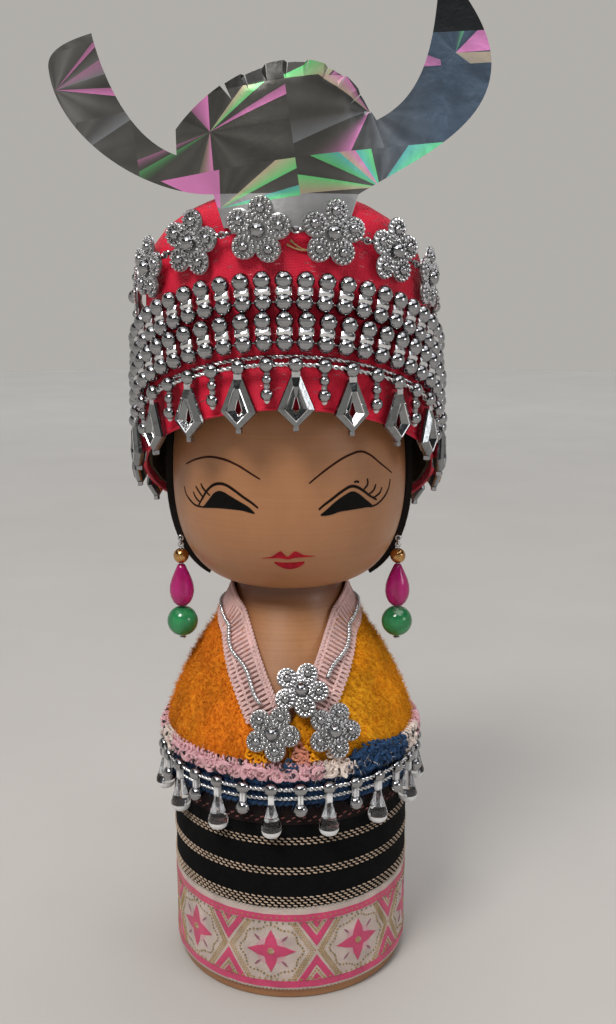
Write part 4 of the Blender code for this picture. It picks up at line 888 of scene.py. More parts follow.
def units_round_a_ring(name):
    """Equal units at steps round a level or tilted ring; a unit faces -Y."""
    g, ask, out = new_growth(
        name, Unit="Object", Finish="Material", Count="Int", Step="Float", Phase="Float", Radius="Float",
        Height="Float", Rise="Float", Lean="Float", Hang="Float")
    turn = g.math("MULTIPLY_ADD", g.first("GeometryNodeInputIndex"), ask["Step"], ask["Phase"])
    sine, cosine = g.math("SINE", turn), g.math("COSINE", turn)
    line = g.first("GeometryNodeMeshLine", {"Count": ask["Count"]})
    x = g.math("MULTIPLY_ADD", ask["Radius"], sine, ask["Lean"])
    y = g.times(g.times(ask["Radius"], cosine), -1.0)
    z = g.math("MULTIPLY_ADD", ask["Rise"], cosine, ask["Height"])
    places = g.first("GeometryNodeSetPosition", {"Geometry": line, "Position": g.joined(x, y, z)})
    slant = g.math("ARCTAN2", g.times(ask["Rise"], sine), ask["Radius"])
    slant = g.times(slant, g.math("SUBTRACT", 1.0, ask["Hang"]))
    turned = g.first("FunctionNodeEulerToRotation", {0: g.joined(0.0, slant, turn)})
    return give_units(g, ask, out, places, turned)


def units_at_places(name):
    """Equal units at the corners of a mesh, turned and sized by its turn and size attributes."""
    g, ask, out = new_growth(name, Unit="Object", Finish="Material")
    faced = g.first("FunctionNodeEulerToRotation", {0: g.attribute("turn")})
    return give_units(g, ask, out, ask["Geometry"], faced, g.attribute("size"))


def twisted_cord(name):
    """Two strands laid round a path; the path carries the direction that stands off its surface."""
    g, ask, out = new_growth(
        name, Finish="Material", Spacing="Float", Offset="Float", Strand="Float", Twists="Float")
    path = g.first("GeometryNodeMeshToCurve", {0: ask["Geometry"]})
    fine = g.first("GeometryNodeResampleCurve", {"Curve": path, "Length": ask["Spacing"]}, mode="LENGTH")
    share = g.node("GeometryNodeSplineParameter").outputs["Factor"]
    stand = g.attribute("out")
    side = g.vector("CROSS_PRODUCT", g.first("GeometryNodeInputTangent"), stand)
    circle = {"Resolution": 6, "Radius": ask["Strand"]}
    ring = g.first("GeometryNodeCurvePrimitiveCircle", circle, mode="RADIUS")
    joint = g.node("GeometryNodeJoinGeometry")
    for start in (0.0, 0.5):
        lay = g.times(g.math("ADD", g.times(share, ask["Twists"]), start), 2 * pi)
        off = g.vector("ADD", g.vector("SCALE", stand, scale=g.math("COSINE", lay)),
                       g.vector("SCALE", side, scale=g.math("SINE", lay)))
        inputs = {"Geometry": fine, "Offset": g.vector("SCALE", off, scale=ask["Offset"])}
        strand = g.first("GeometryNodeSetPosition", inputs)
        inputs = {"Curve": strand, "Profile Curve": ring, "Fill Caps": True}
        g.feed(joint.inputs[0], g.first("GeometryNodeCurveToMesh", inputs))
    give_real(g, out, g.first("GeometryNodeSetShadeSmooth", {0: joint.outputs[0]}), ask["Finish"])
    return g.tree


def fibres_on_cloth(name):
    """Short bent fibres strewn over a surface, each leaning its own way."""
    g, ask, out = new_growth(
        name, Unit="Object", Finish="Material", Density="Float", Seed="Int", Length="Float", Lean="Float")
    inputs = {"Mesh": ask["Geometry"], "Density": ask["Density"], "Seed": ask["Seed"]}
    strewn = g.node("GeometryNodeDistributePointsOnFaces", inputs).outputs
    high = g.joined(ask["Lean"], ask["Lean"], 3.14159)
    low = g.vector("SCALE", high, scale=-1.0)
    lean = g.first("FunctionNodeRandomValue", {0: low, 1: high, 8: ask["Seed"]}, data_type="FLOAT_VECTOR")
    inputs = {0: strewn["Rotation"], 1: g.first("FunctionNodeEulerToRotation", {0: lean})}
    faced = g.first("FunctionNodeRotateRotation", inputs, rotation_space="LOCAL")
    inputs = {2: g.times(ask["Length"], 0.5), 3: g.times(ask["Length"], 1.5), 8: ask["Seed"]}
    length = g.node("FunctionNodeRandomValue", inputs, data_type="FLOAT").outputs[1]
    return give_units(g, ask, out, strewn["Points"], faced, length)


def grown(maker, finish, base=None, unit=None, **values):
    """Plain mesh of a node tree run on a base mesh; its helpers are removed again."""
    tree = group_of(maker)
    helpers = []
    for mesh in (base or bpy.data.meshes.new("base"), *([unit] if unit else [])):
        helpers.append(bpy.data.objects.new("helper", mesh))
        bpy.context.collection.objects.link(helpers[-1])
    values["Finish"] = finish_of(finish)
    if unit:
        values["Unit"] = helpers[1]
    modifier = helpers[0].modifiers.new("growth", "NODES")
    modifier.node_group = tree
    sockets = {item.name: item.identifier for item in tree.interface.items_tree if item.in_out == "INPUT"}
    for key, value in values.items():
        modifier[sockets[key]] = value
    helpers[0].update_tag()
    bpy.context.view_layer.update()
    graph = bpy.context.evaluated_depsgraph_get()
    done = helpers[0].evaluated_get(graph)
    made = bpy.data.meshes.new_from_object(done, preserve_all_data_layers=True, depsgraph=graph)
    for helper in helpers:
        mesh = helper.data
        bpy.data.objects.remove(helper)
        bpy.data.meshes.remove(mesh)
    if not made.polygons:
        raise RuntimeError(tree.name + " made no faces")
    return made


def ringed(unit, finish, count, step=None, phase=0.0, ring=(0.0, 0.0, 0.0), hang=0.0):
    """Units round a ring given as radius, side height and front rise."""
    radius, height, rise = ring
    lean = hat_lean(height) if rise else 0.0
    return grown(units_round_a_ring, finish, None, unit, Count=count, Step=step or 2 * pi / count, Phase=phase,
                 Radius=radius, Height=height, Rise=rise, Lean=lean, Hang=hang)


def placed(unit, finish, places):
    """Units at given points, each with its turn and size."""
    base = bpy.data.meshes.new("places")
    base.from_pydata([place for place, _, _ in places], [], [])
    for name, index in (("turn", 1), ("size", 2)):
        layer = base.attributes.new(name, "FLOAT_VECTOR", "POINT")
        layer.data.foreach_set("vector", [x for place in places for x in place[index]])
    return grown(units_at_places, finish, base, unit)


def laid(path, out, finish, offset, strand, twists, closed=False, spacing=0.45 * MM):
    """Twisted cord along a path, with the direction off the surface at each of its points."""
    base = bpy.data.meshes.new("path")
    edges = [(i, i + 1) for i in range(len(path) - 1)] + ([(len(path) - 1, 0)] if closed else [])
    base.from_pydata(path, edges, [])
    layer = base.attributes.new("out", "FLOAT_VECTOR", "POINT")
    layer.data.foreach_set("vector", [x for point in out for x in point])
    return grown(twisted_cord, finish, base, Spacing=spacing, Offset=offset, Strand=strand, Twists=twists)


def fuzz(base, finish, density, length, lean, seed, thick=0.045):
    """Fibres over a copy of a mesh, with that mesh as their ground."""
    fibre = Shape()
    ring = [(cos(a) * thick, sin(a) * thick) for a in (0.0, 2.094, 4.189)]
    foot = fibre.add([(x, y, -0.1) for x, y in ring])
    bend = fibre.add([(x * 0.8 + 0.12, y * 0.8, 0.55) for x, y in ring])
    tip = fibre.add([(0.34, 0.02, 1.0)])
    for i in range(3):
        j = (i + 1) % 3
        fibre.face((foot[i], foot[j], bend[j], bend[i]))
        fibre.face((bend[i], bend[j], tip[0]))
    fibre.face(foot[::-1])
    return grown(fibres_on_cloth, finish, base.copy(), fibre.mesh(180.0), Density=density, Seed=seed,
                 Length=length, Lean=lean)


def own(name):
    """One of the doll's colours as set in the sidebar."""
    return colour(*getattr(bpy.context.scene.doll_colours, name))


def size(name):
    """One of the doll's sizes as set in the sidebar."""
    return getattr(bpy.context.scene.doll_sizes, name)


def tint(red, green, blue, name, description):
    """Colour property."""
    return bpy.props.FloatVectorProperty(
        name=name, description=description, default=(red, green, blue), min=0.0, max=1.0, subtype="COLOR")


def length(value, name, description):
    """Length property."""
    return bpy.props.FloatProperty(
        name=name, description=description, default=value * MM, min=0.0, precision=5,
        subtype="DISTANCE", unit="LENGTH")


class DollColours(bpy.types.PropertyGroup):
    """Main colours of the doll."""

    head_wood: tint(0.4, 0.18, 0.076, "Head wood", "Light figure of the turned head")
    body_wood: tint(0.42, 0.195, 0.08, "Body wood", "Light figure of the turned body")
    face_black: tint(0.003, 0.0025, 0.002, "Face black", "Brows, lids and lashes")
    lip_red: tint(0.32, 0.009, 0.02, "Lip red", "Painted lips")
    ribbon_pink: tint(0.7, 0.05, 0.17, "Ribbon pink", "Figures of the hem ribbon")
    ribbon_cream: tint(0.66, 0.58, 0.51, "Ribbon cream", "Ground of the hem ribbon")
    skirt_black: tint(0.004, 0.004, 0.0045, "Skirt black", "Cloth of the skirt")
    felt_orange: tint(0.8, 0.235, 0.014, "Orange felt", "Jacket half on the left of the picture")
    felt_yellow: tint(0.86, 0.37, 0.011, "Yellow felt", "Jacket half on the right of the picture")
    hat_red: tint(0.82, 0.02, 0.058, "Hat red", "Satin net of the hat")
    yarn_blue: tint(0.016, 0.08, 0.21, "Yarn blue", "Braid round the waist")
    trim_pink: tint(0.74, 0.44, 0.48, "Trim pink", "Tufted trim at the jacket's hem")
    silver: tint(0.36, 0.36, 0.372, "Silver", "Plated trims")
    magenta: tint(0.64, 0.018, 0.25, "Magenta", "Acrylic drops of the earrings")
    green: tint(0.05, 0.4, 0.14, "Green", "Glass beads of the earrings")


class DollSizes(bpy.types.PropertyGroup):
    """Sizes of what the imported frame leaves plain."""

    brow_width: length(0.62, "Brow width", "Painted stroke of a brow")
    lid_width: length(0.85, "Lid width", "Painted stroke of an eyelid")
    lash_width: length(0.68, "Lash width", "Painted stroke of a lash")
    figure_lift: length(0.14, "Figure lift", "How far woven figures stand off the ribbon")
    felt_nap: length(1.7, "Felt nap", "Length of the jacket's loose fibres")
    trim_nap: length(2.4, "Trim nap", "Length of the tufted trim's fibres")
    curl: length(0.36, "Curl", "Strand radius of the tufted trim's curls")
    yarn: length(0.8, "Yarn", "Strand radius of the blue braid")
    cord: length(0.38, "Cord", "Strand radius of the silver cords")
    granule: length(0.6, "Granule", "Radius of the small beads round a petal")


class PieceOperator:
    """Shared parts of the operators that make pieces."""

    bl_options = {"REGISTER", "UNDO"}

    def execute(self, context):
        self.make()
        return {"FINISHED"}


class DOLL_OT_turned_wood(PieceOperator, bpy.types.Operator):
    """Turned body and head, and the wood of the dowel between them"""

    bl_idname = "doll.turned_wood"
    bl_label = "Turned wood"

    def make(self):
        socket, floor = DOWEL_RADIUS + CLEARANCE, NECK_TOP - DOWEL_DEPTH
        rim = [(BASE_RADIUS - BASE_CHAMFER, 0.0), (BASE_RADIUS - 0.3 * BASE_CHAMFER, 0.3 * BASE_CHAMFER)]
        sides = [(BASE_RADIUS, height) for height in between(BASE_CHAMFER, SHOULDER[0][1] * MM, 12)[:-1]]
        neck = [(SHOULDER[3][0] * MM, NECK_TOP), (socket, NECK_TOP), (socket, floor), (0.0, floor)]
        body = Shape().turned([(0.0, 0.0), *rim, *sides, *SHOULDER_PROFILE, *neck], 112)
        put("turned_body", body.mesh(), "body_wood", "torso", ["torso_block"])
        top = DOWEL_REACH + CLEARANCE
        inside = [(0.0, top), (socket, top), (socket, 0.0)]
        profile = [*inside, *HEAD_PROFILE[:-1], (0.0, HEAD_PROFILE[-1][1])]
        head = Shape().turned(profile, 112, Matrix.Translation((0, 0, HEAD_FOOT)))
        put("turned_head", head.mesh(), "head_wood", "head", ["head_block"])
        for node, finish in (("neck_dowel", "dowel_wood"), ("hat_card", "hat_card")):
            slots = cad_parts[node].material_slots
            for held in slots:
                held.link = "OBJECT"
                held.material = finish_of(finish)
            if not slots:
                raise RuntimeError(node + " has no material slot")


def brushed(shape, line, width, lift, finish):
    """Adds a tapered brush stroke along degrees and millimetres on the head."""
    path = smooth_line(line, 5)
    rings = []
    for i, point in enumerate(path):
        before, after = path[max(i - 1, 0)], path[min(i + 1, len(path) - 1)]
        round_by = radians(1.0) * on_profile(HEAD_PROFILE, point.y * MM).x / MM
        along = Vector(((after.x - before.x) * round_by, after.y - before.y)).normalized()
        share = i / (len(path) - 1)
        half = width / MM / 2 * (0.55 + 0.45 * sin(pi * min(max(share, 0.03), 0.97)) ** 0.6)
        spots = [(s * half * along.y / -round_by, s * half * along.x) for s in (-1.0, -0.5, 0.5, 1.0)]
        over = [on_head(point.x + x, point.y + y, lift * h) for (x, y), h in zip(spots, (0.2, 1.0, 1.0, 0.2))]
        under = [on_head(point.x + x, point.y + y, -0.1 * MM) for x, y in (spots[3], spots[0])]
        rings.append(over + under)
    shape.bar(rings, finish)


class DOLL_OT_painted_face(PieceOperator, bpy.types.Operator):
    """Brows, lids, lashes, eyes and lips painted on the head"""

    bl_idname = "doll.painted_face"
    bl_label = "Painted face"

    def make(self):
        strokes, fills = Shape(), Shape()
        black, brown, lip, brow = range(4)
        for lines, width, finish in (
            (BROWS, size("brow_width"), brow), (LIDS, size("lid_width"), black),
            (LASHES, size("lash_width"), black),
        ):
            for line in lines:
                brushed(strokes, line, width * 1.25, 0.07 * MM, brown)
                brushed(strokes, line, width, 0.13 * MM, finish)
        for outline, finish in (*((eye, black) for eye in EYES), *((half, lip) for half in LIPS)):
            line = [tuple(point) for point in smooth_line(outline, 3, True)]
            turn = sum(a[0] * b[1] - b[0] * a[1] for a, b in zip(line, line[1:] + line[:1]))
            fills.patch(line if turn > 0 else line[::-1], on_head, 0.12 * MM, spacing=1.2, finish=finish)
        mesh = joined(strokes.mesh(), fills.mesh(outward=False))
        put("painted_face", mesh, ["black_paint", "brown_paint", "lip_paint", "brow_paint"], "head")


def on_band(radius):
    """Placing of flat figures, in metres along and up, on a band round the body."""
    return lambda x, y, lift: around(radius + lift, x / radius, y)


def lozenge(shape, place, middle, along, half_length, half_width, lift):
    """Adds a pointed figure on a band."""
    aside = Vector((-along.y, along.x))
    spots = ((half_length, 0), (0.55 * half_length, 0.7), (0.0, 1.0),
             (-0.6 * half_length, 0.55), (-half_length, 0))
    upper = [middle + along * x + aside * y * half_width for x, y in spots]
    lower = [middle + along * x - aside * y * half_width for x, y in spots[1:-1]]
    shape.patch([*upper, *lower[::-1]], place, lift)


def dot(shape, place, middle, radius, lift):
    """Adds a round figure on a band."""
    shape.patch([middle + heading(a) * radius for a in full_turn(8)], place, lift)


def band_shell(radius, thickness, low, high, columns, rows, ripple=None):
    """Strip of cloth wrapped round the body, with a UV map in metres."""
    heights, turns = between(low, high, rows), full_turn(columns)
    ripple = ripple or (lambda angle, height: 0.0)
    outer = [[around(radius + ripple(a, h), a, h) for a in turns] for h in heights]
    inner = [[around(radius - thickness, a, h) for a in turns] for h in heights]
    return Shape().shell(outer, inner, True, lambda r, c: (radius * 2 * pi * c / columns, heights[r])).mesh()


class DOLL_OT_hem_ribbon(PieceOperator, bpy.types.Operator):
    """Woven hem ribbon: cream ground, pink stars and chevrons, gold and olive dots"""

    bl_idname = "doll.hem_ribbon"
    bl_label = "Hem ribbon"

    def make(self):
        top = RIBBON_FOOT + RIBBON_WIDTH
        ripple = lambda a, h: 0.12 * MM * sin(9 * a) * sin(31 * a + h * 150)
        ground = band_shell(RIBBON_RADIUS, 0.7 * MM, RIBBON_FOOT, top, 160, 10, ripple)
        ribbon = put("hem_ribbon_ground", ground, "ribbon_cream", "torso", ["hem_ribbon"])
        lift = size("figure_lift")
        place, over = on_band(RIBBON_RADIUS), on_band(RIBBON_RADIUS + lift)
        level = 17.4 * MM
        middle = Vector((0.0, level))
        star, gold, olive, blush, pale, dash, lattice, cross = (Shape() for _ in range(8))
        tips = []
        for i in range(4):
            quarter = i * pi / 2
            slant = heading(quarter + pi / 4)
            for degrees, reach in ((-19, 4.7), (0, (7.9, 7.5)[i % 2]), (19, 4.7), (45, 3.0)):
                tips.append(middle + heading(quarter + radians(degrees)) * reach * MM)
            lozenge(dash, place, middle + slant * 6.2 * MM, slant, 1.5 * MM, 0.4 * MM, lift)
        star.patch(tips, place, lift, spacing=0.8 * MM)
        dot(blush, place, middle, 5.4 * MM, 0.5 * lift)
        dot(pale, over, middle, 1.1 * MM, 0.6 * lift)
        for a in full_turn(7):
            reach = 0.8 * MM if a else 0.0
            dot(gold, on_band(RIBBON_RADIUS + 1.6 * lift), middle + heading(a) * reach, 0.3 * MM, lift)
        for i, a in enumerate(full_turn(52)):
            swell = 1.0 + 0.06 * cos(8 * a)
            spot = middle + Vector((9.8 * MM * swell * cos(a), 8.6 * MM * swell * sin(a)))
            dot(olive if i % 2 else gold, place, spot, 0.36 * MM, lift)
        chevron = [(-6.0, 10.4), (0.0, 1.5), (6.0, 10.4), (3.6, 10.4), (0.0, 5.1), (-3.6, 10.4)]
        for up in (-1, 1):
            for outline in (chevron, [(-1.8, 10.4), (0.0, 7.9), (1.8, 10.4)]):
                flat = [Vector((x * MM, level + up * y * MM)) for x, y in outline]
                lattice.patch(flat if up > 0 else flat[::-1], place, lift, spacing=0.8 * MM)
            for side in (-1, 1):
                for i in range(13):
                    for row in (0.6, 1.35, 2.1):
                        spot = Vector((side * (i * 0.5 + row) * MM, level + up * i * 0.82 * MM))
                        dot(cross, place, spot, 0.29 * MM, lift)
                for i in range(5):
                    spot = Vector((side * i * 0.6 * MM, level + up * (6.6 + i * 0.85) * MM))
                    dot(cross, place, spot, 0.36 * MM, lift)
        step, start = radians(42.5), radians(-8.4)
        finishes = ["ribbon_" + kind for kind in ("pink", "gold", "olive", "cream", "blush", "mauve")]
        parts = []
        shapes = (star, gold, olive, pale, blush, dash, lattice, cross)
        for shape, number, shift in zip(shapes, (0, 1, 2, 3, 4, 5, 0, 1), (0, 0, 0, 0, 0, 0, 0.5, 0.5)):
            unit = shape.mesh(outward=False)
            parts.append((ringed(unit, finishes[number], 8, step, start + (shift - 4) * step), number))
        for low, high in ((4.6, 6.8), (28.0, 30.3)):
            stripe = (RIBBON_RADIUS + lift, lift + 0.15 * MM, low * MM, high * MM)
            parts.append((band_shell(*stripe, 160, 3, ripple), 0))
        for height, reach, number in ((29.2, 0.28, 1), (7.4, 0.34, 1), (27.4, 0.34, 2)):
            grain = Shape()
            dot(grain, over, Vector((0.0, height * MM)), reach * MM, lift)
            parts.append((ringed(grain.mesh(outward=False), finishes[number], 130), number))
        for height in (RIBBON_FOOT + 0.1 * MM, top - 0.1 * MM):
            picot = Shape().ball(Vector(), 0.6 * MM, 6).mesh()
            parts.append((ringed(picot, "ribbon_cream", 190, ring=(RIBBON_RADIUS - 0.35 * MM, height, 0)), 3))
        figures = put("hem_ribbon_figures", joined(*parts), finishes, "torso")
        flat = (2 * pi * RIBBON_RADIUS, RIBBON_WIDTH)


class DOLL_OT_skirt_wrap(PieceOperator, bpy.types.Operator):
    """Black skirt cloth with three stitched stripes and a dark red strip"""

    bl_idname = "doll.skirt_wrap"
    bl_label = "Skirt wrap"

    def make(self):
        ripple = lambda a, h: 0.1 * MM * sin(7 * a + 90 * h) + 0.06 * MM * sin(23 * a - 140 * h)
        wrap = band_shell(SKIRT_RADIUS, 0.6 * MM, SKIRT_FOOT, SKIRT_TOP, 144, 24, ripple)
        skirt = put("skirt_wrap", wrap, "skirt_black", "torso", ["skirt_cloth"])
        parts = []
        bend = [Vector((s * 0.66, -0.16 * (1 - abs(s)), -s * 0.14)) * MM for s in (-1.0, -0.45, 0.45, 1.0)]
        for stripe, rows in ((55.6, 3), (45.4, 3), (34.9, 4)):
            for row in range(rows):
                stitch = Shape().tube(bend, lambda t: 0.27 * MM * (0.5 + 0.5 * sin(pi * t)), 6).mesh()
                ring = (SKIRT_RADIUS + 0.12 * MM, (stripe + 0.92 * (row - (rows - 1) / 2)) * MM, 0.0)
                shift = pi / 120 * (row % 2)
                parts.append((ringed(stitch, "stitch_tan", 120, phase=shift, ring=ring), 0))
        for row in range(2):
            broken = Shape().tube([Vector((s * 0.5, -0.3, s * 0.2)) * MM for s in (-1, 0, 1)], 0.24 * MM, 5)
            ring = (SKIRT_RADIUS + 0.2 * MM, (62.6 + 1.1 * row) * MM, 0.0)
            parts.append((ringed(broken.mesh(), "strip_thread", 76, phase=0.04 * row, ring=ring), 2))
        parts.append((band_shell(SKIRT_RADIUS + 0.35 * MM, 0.45 * MM, 61.2 * MM, 67.5 * MM, 144, 6, ripple), 1))
        finishes = ["stitch_tan", "strip_red", "strip_thread"]
        stitched = put("skirt_stitches", joined(*parts), finishes, "torso")


class DOLL_OT_waist_trims(PieceOperator, bpy.types.Operator):
    """Blue yarn braid and the pink tufted trim above it"""

    bl_idname = "doll.waist_trims"
    bl_label = "Waist trims"

    def make(self):
        parts = []
        turns = full_turn(96)
        out = [around(1.0, a, 0.0) for a in turns]
        for i, height in enumerate((69.3, 71.6, 73.9, 76.2)):
            wave = lambda a: height * MM + 0.35 * MM * sin((5 + i) * a)
            path = [around(SKIRT_RADIUS + 0.95 * MM, a, wave(a)) for a in turns]
            twists = 62.0 if i % 2 else -62.0
            parts.append((laid(path, out, "blue_yarn", 0.62 * MM, size("yarn"), twists, True, 0.8 * MM), 0))
        core = band_shell(BRAID_RADIUS - 0.2 * MM, 0.7 * MM, BRAID_FOOT - 1.5 * MM, BRAID_TOP, 96, 8)
        parts.append((fuzz(core, "blue_yarn", 1.5e6, 2.2 * MM, 1.2, 3), 0))
        parts.append((core, 0))
        put("blue_yarn_braid", joined(*parts), "blue_yarn", "torso", ["waist_braid"])
        ring = []
        for angle in full_turn(168):
            middle, away = tuft_line(angle), around(1.0, angle, 0.0)
            offsets = [away * cos(s) * 0.9 + Vector((0, 0, 1.6)) * sin(s) for s in full_turn(8)]
            ring.append([middle + offset * MM for offset in offsets])
        rope = Shape()
        rope.grid([*ring, ring[0]], True)
        core = rope.mesh()
        for face in core.polygons:
            face.material_index = trim_yarn(math.atan2(face.center.x, -face.center.y))
        finishes = ["pink_chenille", "cream_chenille", "blue_yarn", "yellow_felt", "coral_yarn", "dark_yarn"]
        curls = [[] for _ in finishes]
        lean = lambda i, channels: tuple(2 * pi * scatter(i, k) for k in channels)
        for i in range(1500):
            angle, turn = lean(i, (0, 1))
            spot = tuft_line(angle) + around(0.9 * MM * cos(turn), angle, 2.2 * MM * sin(turn))
            number = trim_yarn(angle, 8 * scatter(i, 2) - 4)
            scale = (0.75 + 0.5 * scatter(i, 3),) * 3
            curls[5 if i % 10 == 0 else number].append((spot, lean(i, (1, 2, 3)), scale))
        for i in range(62):
            angle = 2 * pi * (i + 0.3 * scatter(i, 1)) / 62
            spot = on_dress(JACKET_HEM + (1.0 + 0.6 * scatter(i, 2)) * MM, angle, TRIM_SEAT + 1.1 * MM)
            turn = (pi / 2, 2 * pi * scatter(i, 3), angle)
            curls[trim_yarn(angle)].append((spot, turn, (1.75 + 0.4 * scatter(i),) * 3))
        clusters = ((-14, 83.8, 5.0, 3, 22), (5.5, 84.0, 4.0, 4, 24), (9.5, 84.4, 3.0, 3, 9),
                    (1.0, 79.8, 4.0, 2, 16), (20, 83.0, 4.0, 1, 16), (44, 80.8, 19.0, 2, 170))
        for degrees, height, wide, number, count in clusters:
            for i in range(count):
                angle = radians(degrees + wide * (scatter(i) + scatter(i, 1) - 1.0))
                level = (height + 3.2 * (scatter(i, 2) + scatter(i, 3) - 1.0)) * MM
                spot = on_dress(level, angle, TRIM_SEAT + 0.2 * MM + MM * scatter(i, 2))
                curls[number].append((spot, lean(i, (2, 3, 1)), (0.7 + 0.6 * scatter(i, 3),) * 3))
        parts = [core]
        bend = [Vector((0.9 * cos(a), 0.9 * sin(a), 0.2 * a - 0.5)) * MM for a in between(0.0, 1.7 * pi, 9)]
        for number, places in enumerate(curls):
            curl = Shape().tube(bend, size("curl"), 5).mesh()
            parts.append((placed(curl, finishes[number], places), number))
        parts.append((fuzz(core, "cream_chenille", 0.5e6, size("trim_nap"), 1.1, 6, 0.03), 1))
        put("pink_tuft_trim", joined(*parts), finishes, "torso", ["waist_tuft_trim"])


def tuft_line(angle):
    """Middle of the tufted trim at an angle."""
    return on_dress(JACKET_HEM + 1.9 * MM, angle, TRIM_SEAT + 0.5 * MM)


def trim_yarn(angle, aside=0.0):
    """Which yarn the tufted trim has some degrees aside of an angle: 0 pink, 1 cream or 2 blue."""
    degrees = math.degrees((angle + pi) % (2 * pi) - pi) + aside
    for low, high, number in ((14, 27, 1), (27, 62, 2), (62, 74, 1), (-76, -62, 1), (118, 140, 1)):
        if low <= degrees < high:
            return number
    return 0


def neckline(height):
    """Angle of the jacket's front edge at a height."""
    radius = on_profile(DRESS_PROFILE, height, FELT_THICKNESS).x
    rise = max(0.0, (height - NECKLINE_FOOT) / (JACKET_TOP - NECKLINE_FOOT))
    return math.asin(min(0.97, (FRONT_GAP / 2 + NECKLINE_HALF * rise) / radius))


class DOLL_OT_felt_jacket(PieceOperator, bpy.types.Operator):
    """Two felt halves of the jacket with their nap"""

    bl_idname = "doll.felt_jacket"
    bl_label = "Felt jacket"

    def make(self):
        heights = between(JACKET_HEM, COLLAR_NECK + 2 * MM, 40)
        for name, side, finish in (("left", -1, "orange_felt"), ("right", 1, "yellow_felt")):
            nets = []
            for lift, rough in ((FELT_SEAT + FELT_THICKNESS, 0.16 * MM), (FELT_SEAT, 0.0)):
                net = []
                for height in heights:
                    under_collar = min(1.0, max(0.0, (height - NECKLINE_FOOT) / (9 * MM)))
                    front = neckline(height) + 0.25 * COLLAR_WIDTH / BASE_RADIUS * under_collar
                    wavy = lambda a: lift + rough * sin(8 * a + height * 260) * sin(height * 420 - 5 * a)
                    angles = between(front, pi - FRONT_GAP / BASE_RADIUS, 56)
                    net.append([on_dress(height, side * a, wavy(a)) for a in angles][::side])
                nets.append(net)
            mesh = Shape().shell(*nets, uv=lambda r, c: (c * 2.1 * MM, r * 1.3 * MM)).mesh()
            outside = Shape()
            outside.grid(nets[0])
            ground = outside.mesh(outward=False)
            nap = fuzz(ground, finish, 2.6e6, size("felt_nap"), 1.35, 11 + side)
            bpy.data.meshes.remove(ground)
            half = put(f"felt_jacket_{name}", mesh, finish, "torso", [f"jacket_{name}"])
            loose = put(f"felt_jacket_{name}_nap", nap, finish, "torso")


def collar_path(count):
    """Angles and heights of a collar strip's middle, from its foot up the V and round to the back."""
    rising = []
    for height in between(COLLAR_FOOT, COLLAR_NECK, count):
        radius = on_profile(DRESS_PROFILE, height, FELT_THICKNESS).x
        rising.append((neckline(height) + 0.55 * COLLAR_WIDTH / radius, height))
    back = pi - COLLAR_WIDTH / (4 * BASE_RADIUS)
    corner = rising[-1][0]
    lift = lambda angle: 4 * MM * sin(min(1.0, (angle - corner) / 0.7) * pi / 2)
    return rising + [(angle, COLLAR_NECK + lift(angle)) for angle in between(corner, back, count)[1:]]


def collar_across(path, index):
    """Direction across the collar strip, as turn and climb at one of its stations."""
    low, high = path[max(index - 1, 0)], path[min(index + 1, len(path) - 1)]
    radius = on_profile(DRESS_PROFILE, path[index][1], FELT_THICKNESS).x
    along = Vector(((high[0] - low[0]) * radius, high[1] - low[1])).normalized()
    return along.y / radius, -along.x


def even_steps(path, pitch):
    """Stations along a strip on the dress at an even pitch, as angles and heights."""
    spots = [on_dress(height, angle, TRIM_SEAT) for angle, height in path]
    found, run, due = [], 0.0, 0.0
    for i in range(len(path) - 1):
        gap = (spots[i + 1] - spots[i]).length
        while due < run + gap:
            share = (due - run) / gap
            found.append(tuple(Vector(path[i]).lerp(Vector(path[i + 1]), share)))
            due += pitch
        run += gap
    return found


